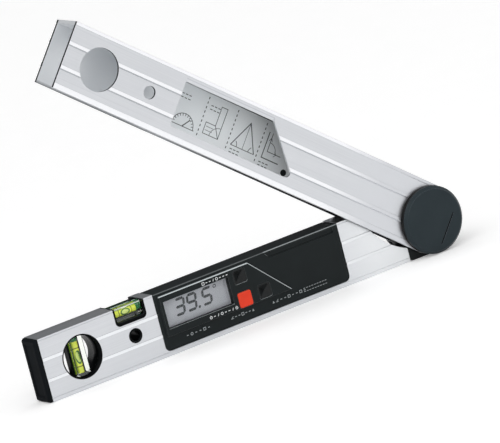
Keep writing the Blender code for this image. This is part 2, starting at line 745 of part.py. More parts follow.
def build_display_cover(parent, plastic):
    section = [
        (BASE_FRONT, COVER_BOTTOM),
        (COVER_BACK, COVER_BOTTOM),
        (COVER_BACK, HOOD_BOTTOM),
        (BASE_BACK, HOOD_BOTTOM),
        (BASE_BACK, COVER_TOP),
        (BASE_FRONT, COVER_TOP),
    ]
    cover = bar("display_cover", section, COVER_START, COVER_END, plastic, parent)
    bevel(cover, COVER_EDGE)
    outer = display_outline(SEAT_GAP, BASE_TOP + OVERRUN)
    keep_inside(
        cover, plate("keep_cover", outer, BASE_FRONT - OVERRUN, BASE_BACK + OVERRUN, None, parent)
    )
    panel = plate("join_panel", panel_outline(), PANEL_FACE, COVER_INNER - SEAT_GAP, None, parent)
    bevel(panel, PANEL_EDGE, angle=40.0)
    join(cover, panel)
    inside = box_outline(
        COVER_START + COVER_WALL, COVER_END - COVER_WALL, COVER_BOTTOM + COVER_WALL, HOOD_BOTTOM
    )
    cut(cover, plate("cut_cover_inside", inside, COVER_INNER, COVER_BACK + OVERRUN, None, parent))
    well = box_outline(
        LCD_START - WELL_WALL, LCD_END + WELL_WALL, LCD_LOW - WELL_WALL, LCD_HIGH + WELL_WALL
    )
    join(cover, plate("join_well", well, COVER_INNER - SEAT_GAP, WELL_BACK, None, parent))
    opening = box_outline(LCD_START, LCD_END, LCD_LOW, LCD_HIGH)
    cut(
        cover,
        plate("cut_well", opening, PANEL_FACE - OVERRUN, WELL_BACK + OVERRUN, None, parent),
        build_slot_cutter(parent),
    )
    for name, reach, height, side, _ in button_places():
        hole = square_outline(side + 2 * BUTTON_GAP, BUTTON_CORNER)
        place = moved(hole, reach, height)
        cutter = plate("cut_" + name, place, PANEL_FACE - OVERRUN, COVER_INNER + OVERRUN, None, parent)
        cut(cover, cutter)
    return cover


def build_slot_cutter(parent):
    """The shallow slot beside the panel, slanted at its outer end."""
    high = SLOT_LOW + SLOT_HEIGHT
    end = SLOT_START + SLOT_LENGTH
    outline = [(SLOT_START, SLOT_LOW), (end - SLOT_HEIGHT, SLOT_LOW), (end, high), (SLOT_START, high)]
    return plate("cut_slot", outline, BASE_FRONT - OVERRUN, BASE_FRONT + SLOT_DEPTH, None, parent)


def build_display_parts(parent, clear, glass, board):
    lens = box_outline(
        LCD_START + SEAT_GAP, LCD_END - SEAT_GAP, LCD_LOW + SEAT_GAP, LCD_HIGH - SEAT_GAP
    )
    plate("lcd_lens", lens, WELL_BACK - LENS_THICKNESS, WELL_BACK, clear, parent)
    module = box_outline(
        LCD_START - LCD_MARGIN, LCD_END + LCD_MARGIN, LCD_LOW - LCD_MARGIN, LCD_HIGH + LCD_MARGIN
    )
    plate("lcd_module", module, LCD_FACE, LCD_FACE + LCD_THICKNESS, glass, parent)
    edge = COVER_WALL + SEAT_GAP
    laminate = box_outline(
        COVER_START + edge, COVER_END - edge, COVER_BOTTOM + edge, HOOD_BOTTOM - BOARD_MARGIN
    )
    plate("circuit_board", laminate, BOARD_FACE, BOARD_BACK, board, parent)


def build_button(name, frame, side, proud, plastic):
    """A button cap on a flange behind the panel, with a short stem towards its switch."""
    outline = square_outline(side, BUTTON_CORNER)
    flange_outline = square_outline(side + 2 * BUTTON_FLANGE, BUTTON_CORNER)
    flange_front = COVER_INNER + SEAT_GAP
    flange_back = flange_front + BUTTON_FLANGE_THICKNESS
    stem = circle(0.0, 0.0, BUTTON_STEM_RADIUS, SMALL_ROUND_STEPS // 2)
    stem_end = BOARD_FACE - SEAT_GAP - BUTTON_TRAVEL
    face = PANEL_FACE - proud
    button = plate(name, outline, face, flange_back, plastic, frame)
    if proud > 0:
        bevel(button, BUTTON_PROUD)
    join(
        button,
        plate("join_flange_" + name, flange_outline, flange_front, flange_back - OVERRUN / 10, None, frame),
        plate("join_stem_" + name, stem, flange_front, stem_end, None, frame),
    )
    if proud == 0:
        cut(button, build_dimple("cut_dimple_" + name, side - 2 * BUTTON_RIM, face, frame))
    return button


def build_dimple(name, side, face, frame):
    """An upside-down pyramid sunk in a button's face."""
    builder = bmesh.new()
    front = face - OVERRUN
    half = side / 2 * (1 + OVERRUN / BUTTON_DIMPLE)
    rim = [(-half, front, -half), (half, front, -half), (half, front, half), (-half, front, half)]
    corners = [builder.verts.new(point) for point in rim]
    tip = builder.verts.new((0.0, face + BUTTON_DIMPLE, 0.0))
    builder.faces.new(corners)
    for first, second in zip(corners, corners[1:] + corners[:1]):
        builder.faces.new((first, second, tip))
    return finish_mesh(name, builder, None, frame)


# Battery compartment

def build_battery_tray(parent, plastic):
    outline = box_outline(TRAY_START, TRAY_END, TRAY_BOTTOM, TRAY_TOP)
    tray = plate("battery_tray", outline, TRAY_FACE, TRAY_BACK, plastic, parent)
    pocket = box_outline(
        POCKET_START, POCKET_END, BASE_MIDDLE - POCKET_HEIGHT / 2, BASE_MIDDLE + POCKET_HEIGHT / 2
    )
    bay = box_outline(
        POCKET_END + COVER_WALL, TRAY_END - COVER_WALL, TRAY_BOTTOM + COVER_WALL, TRAY_TOP - COVER_WALL
    )
    cut(
        tray,
        plate("cut_pocket", pocket, POCKET_FLOOR, BASE_BACK, None, parent),
        plate("cut_bay", bay, TRAY_FACE - OVERRUN, TRAY_BACK - COVER_WALL, None, parent),
    )
    return tray


def cell_rows():
    return (BASE_MIDDLE + CELL_ROW_OFFSET, BASE_MIDDLE - CELL_ROW_OFFSET)


def cell_profile(start, way):
    """Half outline of one cell; way is +1 with its nub away from the hinge, -1 towards it."""
    base = start if way > 0 else start + CELL_LENGTH
    case = CELL_LENGTH - CELL_NUB_LENGTH
    shape = (
        (0.0, 0.0),
        (CELL_RADIUS - CELL_EDGE, 0.0),
        (CELL_RADIUS, CELL_EDGE),
        (CELL_RADIUS, case - CELL_EDGE),
        (CELL_RADIUS - CELL_EDGE, case),
        (CELL_NUB_RADIUS, case),
        (CELL_NUB_RADIUS, CELL_LENGTH),
        (0.0, CELL_LENGTH),
    )
    return [(radius, base + way * length) for radius, length in shape]


def build_cells(parent, sleeve):
    number = 1
    for row, way in zip(cell_rows(), (1, -1)):
        for start in (FIRST_CELL_START, SECOND_CELL_START):
            profile = cell_profile(start, way)
            name = f"battery_{number}"
            lathe_along_leg(name, profile, CELL_DEPTH, row, SMALL_ROUND_STEPS, sleeve, parent)
            number += 1


def build_contact(name, plate_start, bump_start, bump_end, parent, metal):
    """A contact plate that bridges the two rows, with one raised contact for each."""
    half = CONTACT_WIDTH / 2
    low = BASE_MIDDLE - POCKET_HEIGHT / 2 + SEAT_GAP
    high = BASE_MIDDLE + POCKET_HEIGHT / 2 - SEAT_GAP
    section = box_outline(CELL_DEPTH - half, CELL_DEPTH + half, low, high)
    contact = bar(name, section, plate_start, plate_start + CONTACT_THICKNESS, metal, parent)
    for index, row in enumerate(cell_rows()):
        profile = [
            (0.0, bump_start),
            (CELL_NUB_RADIUS * 2, bump_start),
            (CELL_NUB_RADIUS, bump_end),
            (0.0, bump_end),
        ]
        helper = f"join_{name}_{index}"
        bump = lathe_along_leg(helper, profile, CELL_DEPTH, row, SMALL_ROUND_STEPS // 2, None, parent)
        join(contact, bump)
    return contact


def build_contacts(parent, metal):
    middle = CONTACT_THICKNESS / 2
    near = POCKET_START + SEAT_GAP
    build_contact(
        "battery_contact_outer", near, near + middle, FIRST_CELL_START - SEAT_GAP, parent, metal
    )
    far = POCKET_END - SEAT_GAP - CONTACT_THICKNESS
    build_contact(
        "battery_contact_inner", far, far + middle, SECOND_CELL_START + CELL_LENGTH + SEAT_GAP, parent, metal
    )


def build_battery_door(frame, plastic):
    """The lid with its two latches, drawn from its hinge line: its upper outer edge."""
    half = (DOOR_END - DOOR_START) / 2
    outline = box_outline(-half, half, -DOOR_HEIGHT, 0.0)
    door = plate("battery_door", outline, -DOOR_THICKNESS, 0.0, plastic, frame)
    low = DOOR_MARGIN * 2 - DOOR_HEIGHT
    thumb = box_outline(-THUMB_LENGTH / 2, THUMB_LENGTH / 2, low, low + THUMB_HEIGHT)
    cut(door, plate("cut_thumb", thumb, -THUMB_DEPTH, OVERRUN, None, frame))
    latch_low = 2 * SEAT_GAP - (POCKET_HEIGHT + DOOR_HEIGHT) / 2
    for side in (-1, 1):
        middle = side * LATCH_SPACING / 2
        latch = box_outline(
            middle - LATCH_LENGTH / 2, middle + LATCH_LENGTH / 2, latch_low, latch_low + LATCH_THICKNESS
        )
        depth = -DOOR_THICKNESS - LATCH_DEPTH
        join(door, plate(f"join_latch_{side}", latch, depth, OVERRUN / 10 - DOOR_THICKNESS, None, frame))
    return door


# Spirit-level vials and hanging hole

def build_plumb_holder(parent, plastic):
    inner = PLUMB_HOLE_RADIUS - SEAT_GAP - PLUMB_RING_WALL
    ring = tube_profile(inner, PLUMB_HOLE_RADIUS - SEAT_GAP, BASE_FRONT, BASE_BACK)
    holder = turned(
        "plumb_vial_holder", ring, PLUMB_REACH, BASE_MIDDLE, LARGE_ROUND_STEPS, plastic, parent
    )
    slot = PLUMB_VIAL_WIDTH / 2 + SEAT_GAP
    edge = slot + PLUMB_RAIL_WIDTH
    front = -PLUMB_RAIL_DEPTH / 2
    limit = circle(PLUMB_REACH, BASE_MIDDLE, inner + PLUMB_RING_WALL / 2, LARGE_ROUND_STEPS)
    for side, label in ((-1, "near"), (1, "far")):
        low, high = sorted((PLUMB_REACH + side * slot, PLUMB_REACH + side * edge))
        outline = box_outline(low, high, BASE_MIDDLE - inner, BASE_MIDDLE + inner)
        rail = plate("join_rail_" + label, outline, front, -front, None, parent)
        keep_inside(rail, plate("keep_rail_" + label, limit, front - OVERRUN, OVERRUN - front, None, parent))
        join(holder, rail)
    return holder


def build_plumb_vial(parent, clear, fluid, green):
    reach_end = PLUMB_HOLE_RADIUS - PLUMB_RING_WALL - 2 * SEAT_GAP
    half = PLUMB_VIAL_WIDTH / 2
    depth = PLUMB_VIAL_DEPTH / 2
    outline = box_outline(
        PLUMB_REACH - half, PLUMB_REACH + half, BASE_MIDDLE - reach_end - OVERRUN,
        BASE_MIDDLE + reach_end + OVERRUN
    )
    vial = plate("plumb_vial", outline, -depth, depth, clear, parent)
    limit = circle(PLUMB_REACH, BASE_MIDDLE, reach_end, LARGE_ROUND_STEPS)
    keep_inside(vial, plate("keep_vial", limit, -depth - OVERRUN, depth + OVERRUN, None, parent))
    floor = BASE_MIDDLE - reach_end + VIAL_FLOOR
    bore = [(0.0, floor), (VIAL_BORE_RADIUS, floor), (VIAL_BORE_RADIUS, BASE_TOP), (0.0, BASE_TOP)]
    cut(vial, lathe_upright("cut_plumb_bore", bore, PLUMB_REACH, 0.0, SMALL_ROUND_STEPS, None, parent))
    radius = VIAL_BORE_RADIUS - SEAT_GAP
    low = floor + SEAT_GAP
    high = low + PLUMB_FLUID_LENGTH
    column = [(0.0, low), (radius, low), (radius, high), (0.0, high)]
    filling = lathe_upright(
        "plumb_vial_fluid", column, PLUMB_REACH, 0.0, SMALL_ROUND_STEPS, fluid, parent
    )
    centre = Vector((-PLUMB_REACH, BUBBLE_SINK - radius, BASE_MIDDLE))
    radii = (BUBBLE_RADIUS, BUBBLE_RADIUS, BUBBLE_LENGTH / 2)
    cut(filling, ellipsoid("cut_plumb_bubble", centre, radii, parent))
    plug_low = high + SEAT_GAP
    plug_high = BASE_MIDDLE + math.sqrt(reach_end ** 2 - VIAL_BORE_RADIUS ** 2)
    plug = [(0.0, plug_low), (radius, plug_low), (radius, plug_high), (0.0, plug_high)]
    lathe_upright("plumb_vial_plug", plug, PLUMB_REACH, 0.0, SMALL_ROUND_STEPS, green, parent)


def build_level_holder(parent, plastic):
    outline = notch_outline(SEAT_GAP, SEAT_GAP, 0.0)
    holder = plate("level_vial_holder", outline, BASE_FRONT, BASE_BACK, plastic, parent)
    inside = notch_outline(CRADLE_WALL, CRADLE_FLOOR, OVERRUN)
    cut(
        holder,
        plate("cut_cradle", inside, BASE_FRONT - OVERRUN, BASE_BACK + OVERRUN, None, parent),
    )
    return holder


def build_level_vial(parent, clear, fluid, green):
    depth = LEVEL_VIAL_DEPTH / 2
    outline = notch_outline(CRADLE_WALL + SEAT_GAP, CRADLE_FLOOR + SEAT_GAP, -LEVEL_VIAL_DROP)
    vial = plate("level_vial", outline, -depth, depth, clear, parent)
    half = NOTCH_LENGTH / 2 - CRADLE_WALL - SEAT_GAP
    low = BASE_TOP - NOTCH_DEPTH + CRADLE_FLOOR + SEAT_GAP
    axis = (low + BASE_TOP - LEVEL_VIAL_DROP) / 2
    near = NOTCH_REACH - half
    far = NOTCH_REACH + half - VIAL_FLOOR
    bore = [
        (0.0, near - OVERRUN),
        (VIAL_BORE_RADIUS, near - OVERRUN),
        (VIAL_BORE_RADIUS, far),
        (0.0, far),
    ]
    cut(vial, lathe_along_leg("cut_level_bore", bore, 0.0, axis, SMALL_ROUND_STEPS, None, parent))
    radius = VIAL_BORE_RADIUS - SEAT_GAP
    start = near + LEVEL_PLUG_LENGTH + SEAT_GAP
    end = far - SEAT_GAP
    column = [(0.0, start), (radius, start), (radius, end), (0.0, end)]
    filling = lathe_along_leg("level_vial_fluid", column, 0.0, axis, SMALL_ROUND_STEPS, fluid, parent)
    centre = Vector((-NOTCH_REACH, 0.0, axis + radius - BUBBLE_SINK))
    radii = (BUBBLE_LENGTH / 2, BUBBLE_RADIUS, BUBBLE_RADIUS)
    cut(filling, ellipsoid("cut_level_bubble", centre, radii, parent))
    stop = near + LEVEL_PLUG_LENGTH
    plug = [(0.0, near), (radius, near), (radius, stop), (0.0, stop)]
    lathe_along_leg("level_vial_plug", plug, 0.0, axis, SMALL_ROUND_STEPS, green, parent)


def build_hanging_bush(parent, plastic):
    outer = HANGING_HOLE_RADIUS - SEAT_GAP
    tube = tube_profile(outer - HANGING_BUSH_WALL, outer, BASE_FRONT, BASE_BACK)
    return turned("hanging_bush", tube, NOTCH_REACH, BASE_MIDDLE, SMALL_ROUND_STEPS, plastic, parent)


# Fold-out leg

def channel_section():
    """U section as (depth, height) points, round the outside and back along the inside."""
    front = ribbed_face(
        CHANNEL_FRONT, -1.0, FOLDOUT_BOTTOM, FOLDOUT_TOP, FOLDOUT_RIB_SHARES, FOLDOUT_GROOVE_SHARES
    )
    back_bottom = FOLDOUT_BOTTOM + BACK_PLATE_TRIM
    back = ribbed_face(
        CHANNEL_BACK, 1.0, FOLDOUT_BOTTOM, FOLDOUT_TOP, FOLDOUT_RIB_SHARES[1:], FOLDOUT_GROOVE_SHARES
    )
    inside = [
        (CHANNEL_BACK, back_bottom),
        (CHANNEL_INNER_BACK, back_bottom),
        (CHANNEL_INNER_BACK, WEB_INNER),
        (CHANNEL_INNER_FRONT, WEB_INNER),
        (CHANNEL_INNER_FRONT, FOLDOUT_BOTTOM),
    ]
    return front + back[::-1] + inside


def window_outline():
    points = [
        (WINDOW_TIP, WINDOW_LOW),
        (WINDOW_END, WINDOW_LOW),
        (WINDOW_END, WINDOW_HIGH),
        (WINDOW_SHOULDER, WINDOW_HIGH),
        (WINDOW_TIP, WINDOW_LOW + WINDOW_TIP_DROP),
    ]
    return rounded(points, (WINDOW_TIP_CORNER, WINDOW_CORNER, 0, 0, WINDOW_TIP_CORNER / 2))


def window_bevel_section():
    """Triangle that slopes in from the plate's face down to the window's upper edge."""
    slope = WINDOW_BEVEL_WIDTH / WINDOW_BEVEL_DEPTH
    outside = CHANNEL_FRONT - RIB_RISE
    return [
        (outside, WINDOW_HIGH + WINDOW_BEVEL_WIDTH + RIB_RISE * slope),
        (CHANNEL_FRONT + WINDOW_BEVEL_DEPTH, WINDOW_HIGH),
        (CHANNEL_FRONT + WINDOW_BEVEL_DEPTH, WINDOW_HIGH - OVERRUN),
        (outside, WINDOW_HIGH - OVERRUN),
    ]


def build_channel(parent, metal):
    channel = bar("foldout_channel", channel_section(), FOLDOUT_BOTTOM, FOLDOUT_END, metal, parent)
    front = CHANNEL_FRONT - OVERRUN
    back = CHANNEL_BACK + OVERRUN
    inner = CHANNEL_INNER_FRONT + OVERRUN
    limit = arc(0.0, 0.0, HUB_RADIUS, 90.0, 270.0, LARGE_ROUND_STEPS // 2)
    limit += [(FOLDOUT_END + OVERRUN, FOLDOUT_BOTTOM), (FOLDOUT_END + OVERRUN, FOLDOUT_TOP)]
    keep_inside(channel, plate("keep_channel", limit, front, back, None, parent))
    web = box_outline(FOLDOUT_BOTTOM - OVERRUN, WEB_START, WEB_INNER - OVERRUN, FOLDOUT_TOP + OVERRUN)
    web_cut = plate(
        "cut_web", web, CHANNEL_INNER_FRONT + RIB_EDGE, CHANNEL_INNER_BACK - RIB_EDGE, None, parent
    )
    axle = circle(0.0, 0.0, AXLE_HOLE_RADIUS, SMALL_ROUND_STEPS)
    spot = circle(0.0, 0.0, HUB_RADIUS + SEAT_GAP, LARGE_ROUND_STEPS)
    window_round = circle(ROUND_WINDOW_REACH, 0.0, ROUND_WINDOW_RADIUS, LARGE_ROUND_STEPS)
    small = circle(SMALL_HOLE_REACH, 0.0, SMALL_HOLE_RADIUS, SMALL_ROUND_STEPS)
    spot_front = CHANNEL_FRONT + SPOT_FACE_DEPTH
    cut(
        channel,
        web_cut,
        plate("cut_axle_holes", axle, front, back, None, parent),
        plate("cut_front_spot_face", spot, front, spot_front, None, parent),
        plate("cut_rear_spot_face", spot, -spot_front, back, None, parent),
        plate("cut_round_window", window_round, front, inner, None, parent),
        plate("cut_small_hole", small, front, inner, None, parent),
        plate("cut_window", window_outline(), front, inner, None, parent),
        bar("cut_window_bevel", window_bevel_section(), WINDOW_SHOULDER, WINDOW_END, None, parent),
    )
    return channel


def build_label(parent, film):
    outline = box_outline(
        WINDOW_TIP - LABEL_TAIL,
        WINDOW_END + LABEL_MARGIN,
        WINDOW_LOW - LABEL_MARGIN,
        WINDOW_HIGH + LABEL_MARGIN,
    )
    back = CHANNEL_INNER_BACK - SEAT_GAP
    return plate("instruction_label", outline, back - LABEL_THICKNESS, back, film, parent)


def build_spacer(parent, plastic):
    """The insert between the channel's plates: outside the hinge block, inside the scallop."""
    reach_end = SCALLOP_CENTRE_REACH + SCALLOP_RADIUS
    high = WEB_INNER - SEAT_GAP
    outline = box_outline(SPACER_START, reach_end, -high, high)
    front = CHANNEL_INNER_FRONT + SEAT_GAP
    spacer = plate("foldout_spacer", outline, front, -front, plastic, parent)
    curve = circle(
        SCALLOP_CENTRE_REACH,
        SCALLOP_CENTRE_HEIGHT,
        SCALLOP_RADIUS - SCALLOP_CLEARANCE,
        LARGE_ROUND_STEPS * 2,
    )
    keep_inside(spacer, plate("keep_spacer", curve, front - OVERRUN, OVERRUN - front, None, parent))
    hub = circle(0.0, 0.0, BLOCK_RADIUS + SPACER_HUB_CLEARANCE, LARGE_ROUND_STEPS)
    cut(spacer, plate("cut_spacer_hub", hub, front - OVERRUN, OVERRUN - front, None, parent))
    return spacer


def build_hub_cap(parent, plastic):
    inside = HUB_RADIUS - HUB_CAP_WALL
    profile = [
        (0.0, HUB_CAP_FACE),
        (HUB_RADIUS - HUB_CAP_CHAMFER, HUB_CAP_FACE),
        (HUB_RADIUS, HUB_CAP_FACE + HUB_CAP_CHAMFER),
        (HUB_RADIUS, HUB_SEAT_FRONT),
        (inside, HUB_SEAT_FRONT),
        (inside, HUB_CAP_FACE + HUB_CAP_CHAMFER),
        (inside - HUB_CAP_CHAMFER, HUB_CAP_FACE + HUB_CAP_WALL),
        (0.0, HUB_CAP_FACE + HUB_CAP_WALL),
    ]
    cap = turned("hub_cap", profile, 0.0, 0.0, LARGE_ROUND_STEPS, plastic, parent)
    half = HUB_GROOVE_WIDTH / 2
    groove = box_outline(
        -HUB_GROOVE_OFFSET - half,
        half - HUB_GROOVE_OFFSET,
        HUB_GROOVE_LOW,
        HUB_GROOVE_LOW + HUB_GROOVE_LENGTH,
    )
    floor = HUB_CAP_FACE + HUB_GROOVE_DEPTH
    cut(cap, plate("cut_hub_groove", groove, HUB_CAP_FACE - OVERRUN, floor, None, parent))
    return cap


def build_hinge_metal(parent, metal):
    """The flanged axle, the stud through it and the coded disc round it."""
    flange_face = HUB_SEAT_FRONT - AXLE_FLANGE_THICKNESS
    axle = [
        (STUD_HOLE_RADIUS, flange_face),
        (AXLE_FLANGE_RADIUS, flange_face),
        (AXLE_FLANGE_RADIUS, HUB_SEAT_FRONT),
        (AXLE_RADIUS, HUB_SEAT_FRONT),
        (AXLE_RADIUS, REAR_HUB_FACE),
        (STUD_HOLE_RADIUS, REAR_HUB_FACE),
    ]
    turned("hinge_axle", axle, 0.0, 0.0, SMALL_ROUND_STEPS, metal, parent)
    hexagon = circle(0.0, 0.0, STUD_HEAD_RADIUS, 6)
    head_front = STUD_HEAD_FACE - STUD_HEAD_THICKNESS
    stud = plate("clamp_stud", hexagon, head_front, STUD_HEAD_FACE, metal, parent)
    stud_end = KNOB_SEAT + KNOB_THICKNESS - KNOB_CEILING - SEAT_GAP
    shank = circle(0.0, 0.0, STUD_RADIUS, SMALL_ROUND_STEPS)
    join(stud, plate("join_shank", shank, STUD_HEAD_FACE - SEAT_GAP, stud_end, None, parent))
    build_encoder_disc(parent, metal)


def build_encoder_disc(parent, metal):
    """The disc with its ring of sensing slots."""
    tube = tube_profile(AXLE_HOLE_RADIUS, DISC_RADIUS, DISC_BACK - DISC_THICKNESS, DISC_BACK)
    disc = turned("encoder_disc", tube, 0.0, 0.0, LARGE_ROUND_STEPS, metal, parent)
    outer = DISC_RADIUS - DISC_SLOT_MARGIN
    inner = outer - DISC_SLOT_LENGTH
    half = math.pi / DISC_SLOT_COUNT * DISC_SLOT_SHARE
    builder = bmesh.new()
    for index in range(DISC_SLOT_COUNT):
        middle = math.tau * index / DISC_SLOT_COUNT
        corners = ((inner, -half), (outer, -half), (outer, half), (inner, half))
        front = DISC_BACK - DISC_THICKNESS - OVERRUN / 10
        points = [
            (radius * math.cos(middle + side), front, radius * math.sin(middle + side))
            for radius, side in corners
        ]
        sweep_face(builder, points, Vector((0.0, DISC_THICKNESS + OVERRUN / 5, 0.0)))
    cut(disc, finish_mesh("cut_disc_slots", builder, None, parent))
    return disc


def build_rear_hub(parent, plastic):
    profile = [
        (AXLE_HOLE_RADIUS, HUB_SEAT_BACK),
        (HUB_RADIUS, HUB_SEAT_BACK),
        (HUB_RADIUS, REAR_HUB_FACE - REAR_HUB_CHAMFER),
        (HUB_RADIUS - REAR_HUB_CHAMFER, REAR_HUB_FACE),
        (AXLE_HOLE_RADIUS, REAR_HUB_FACE),
    ]
    return turned("rear_hub", profile, 0.0, 0.0, LARGE_ROUND_STEPS, plastic, parent)


def build_knob(frame, plastic):
    """The lobed knob, with a blind hole for the end of the stud."""
    face = KNOB_SEAT + KNOB_THICKNESS
    outline = []
    for index in range(KNOB_LOBE_COUNT * KNOB_LOBE_STEPS):
        angle = math.tau * index / (KNOB_LOBE_COUNT * KNOB_LOBE_STEPS)
        radius = KNOB_RADIUS - KNOB_LOBE_DEPTH * (1 - math.cos(KNOB_LOBE_COUNT * angle)) / 2
        outline.append((radius * math.cos(angle), radius * math.sin(angle)))
    knob = plate("lock_knob", outline, KNOB_SEAT, face, plastic, frame)
    bevel(knob, KNOB_CHAMFER)
    bore = circle(0.0, 0.0, STUD_HOLE_RADIUS, SMALL_ROUND_STEPS)
    cutter = plate("cut_knob_bore", bore, KNOB_SEAT - OVERRUN, face - KNOB_CEILING, None, frame)
    cut(knob, cutter)
    return knob


def build_tool():
    clear_scene()
    metal = aluminium()
    plastic = black_plastic()
    clear = clear_plastic()
    fluid = vial_fluid()
    green = green_plastic()
    steel_finish = steel()
    board = board_laminate()

    base = add_frame("base_frame", (HINGE_X, 0.0, HINGE_HEIGHT))
    foldout = add_frame("foldout_frame", (HINGE_X, 0.0, HINGE_HEIGHT), OPEN_ANGLE)
    knob = add_frame("knob_frame", (0.0, 0.0, 0.0), parent=foldout)
    door_place = (-(DOOR_START + DOOR_END) / 2, BASE_BACK, DOOR_TOP)
    door = add_frame("battery_door_frame", door_place, parent=base)

    build_base_profile(base, metal)
    build_end_cap(base, plastic)
    build_hinge_block(base, plastic)
    build_bearing(base, bearing_plastic(), board)
    build_display_cover(base, plastic)
    build_display_parts(base, clear, display_glass(), board)
    for name, reach, height, side, proud in button_places():
        frame = add_frame(name + "_frame", (-reach, 0.0, height), parent=base)
        build_button(name, frame, side, proud, red_plastic() if proud else plastic)
    build_battery_tray(base, plastic)
    build_cells(base, cell_sleeve())
    build_contacts(base, steel_finish)
    build_battery_door(door, plastic)
    build_plumb_holder(base, plastic)
    build_plumb_vial(base, clear, fluid, green)
    build_level_holder(base, plastic)
    build_level_vial(base, clear, fluid, green)
    build_hanging_bush(base, plastic)

    build_channel(foldout, metal)
    build_label(foldout, label_film())
    build_spacer(foldout, plastic)
    build_hub_cap(foldout, plastic)
    build_hinge_metal(foldout, steel_finish)
    build_rear_hub(foldout, plastic)
    build_knob(knob, plastic)


build_tool()
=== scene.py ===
import json
import math

import bmesh
import bpy
from mathutils import Matrix, Vector


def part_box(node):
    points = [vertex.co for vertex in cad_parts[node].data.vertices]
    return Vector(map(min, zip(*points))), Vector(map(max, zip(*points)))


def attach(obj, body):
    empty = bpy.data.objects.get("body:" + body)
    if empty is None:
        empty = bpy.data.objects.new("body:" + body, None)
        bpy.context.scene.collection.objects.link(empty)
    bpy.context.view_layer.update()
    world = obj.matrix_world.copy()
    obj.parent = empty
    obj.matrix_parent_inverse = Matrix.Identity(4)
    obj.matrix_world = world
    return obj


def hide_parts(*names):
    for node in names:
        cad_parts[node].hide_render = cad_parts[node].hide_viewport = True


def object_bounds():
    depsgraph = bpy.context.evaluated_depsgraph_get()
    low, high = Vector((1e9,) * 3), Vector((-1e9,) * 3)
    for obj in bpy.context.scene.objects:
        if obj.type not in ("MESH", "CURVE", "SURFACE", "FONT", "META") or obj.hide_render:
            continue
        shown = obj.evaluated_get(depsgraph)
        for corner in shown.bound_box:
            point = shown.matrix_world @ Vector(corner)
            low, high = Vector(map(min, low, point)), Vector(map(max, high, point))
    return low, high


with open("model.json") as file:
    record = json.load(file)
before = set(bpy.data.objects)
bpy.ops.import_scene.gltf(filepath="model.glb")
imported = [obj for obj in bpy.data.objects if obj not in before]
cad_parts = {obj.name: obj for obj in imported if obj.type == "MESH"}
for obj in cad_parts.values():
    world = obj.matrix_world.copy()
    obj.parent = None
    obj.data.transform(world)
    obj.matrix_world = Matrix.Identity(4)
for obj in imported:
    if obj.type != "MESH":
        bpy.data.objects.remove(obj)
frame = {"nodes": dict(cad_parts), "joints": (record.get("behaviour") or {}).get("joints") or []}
cad_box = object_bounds()
nodes = frame["nodes"]


# Camera
# The photograph looks down on the front from the left, with the tool tipped in the picture.
# It is stretched sideways. This camera has square pixels, and turns far enough to show the end faces.

camera_data = bpy.data.cameras.new("camera")
camera_data.sensor_fit = "HORIZONTAL"
camera_data.sensor_width = 36.0
camera_data.lens = 482.58
camera_data.clip_end = 30.0
camera = bpy.data.objects.new("camera", camera_data)
bpy.context.scene.collection.objects.link(camera)
yaw = math.radians(28.0)
pitch = math.radians(-12.574)
roll = math.radians(-14.54)
forward = Vector((math.sin(yaw) * math.cos(pitch), math.cos(yaw) * math.cos(pitch), math.sin(pitch)))
level_right = Vector((math.cos(yaw), -math.sin(yaw), 0.0))
level_up = level_right.cross(forward)
right = level_right * math.cos(roll) + level_up * math.sin(roll)
up = right.cross(forward)
turn = Matrix((right, up, -forward)).transposed()
eye = Vector((-2.62684, -5.03021, 1.35417))
camera.matrix_world = Matrix.Translation(eye) @ turn.to_4x4()
bpy.context.scene.camera = camera


# Lower leg: box profile
# The real leg is an extruded aluminium box section, sawn and milled, then etched and anodised.
# Its round hole, notch, display opening and scallop are cut through the finished profile.

def linear(code):
    """Colour of an sRGB hex value as the four linear numbers that a shader takes."""
    parts = [int(code[i:i + 2], 16) / 255 for i in (1, 3, 5)]
    return tuple(p / 12.92 if p <= 0.04045 else ((p + 0.055) / 1.055) ** 2.4 for p in parts) + (1.0,)


def add(tree, kind, values=None, links=None, **settings):
    """One node with its settings, its socket values and what feeds its sockets."""
    made = tree.nodes.new(kind)
    for name, value in settings.items():
        setattr(made, name, value)
    for socket, value in (values or {}).items():
        made.inputs[socket].default_value = value
    for socket, source in (links or {}).items():
        tree.links.new(source, made.inputs[socket])
    return made


def new_finish(name, **sockets):
    """A material with its own tree and shader; the keywords are constant shader values."""
    finish = bpy.data.materials.new(name)
    finish.use_nodes = True
    shader = finish.node_tree.nodes["Principled BSDF"]
    for socket, value in sockets.items():
        shader.inputs[socket.replace("_", " ")].default_value = value
    return finish, finish.node_tree, shader


def dress(finish, *names):
    """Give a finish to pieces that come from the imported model."""
    for name in names:
        for holder in nodes[name].material_slots:
            holder.material = finish


def blend_colours(tree, share, first, second):
    """Mix two colours by a share; each is a hex value or the output of a node."""
    mixed = add(tree, "ShaderNodeMix", links={0: share}, data_type="RGBA")
    for socket, colour in ((6, first), (7, second)):
        if isinstance(colour, str):
            mixed.inputs[socket].default_value = linear(colour)
        else:
            tree.links.new(colour, mixed.inputs[socket])
    return mixed.outputs[2]


def step_between(tree, value, start, end):
    """0 at start, 1 at end, even in between; start may be the larger one."""
    made = add(tree, "ShaderNodeMapRange", {"From Min": start, "From Max": end}, {"Value": value})
    return made.outputs[0]


def both(tree, first, second):
    """The product of two shares."""
    return add(tree, "ShaderNodeMath", links={0: first, 1: second}, operation="MULTIPLY").outputs[0]


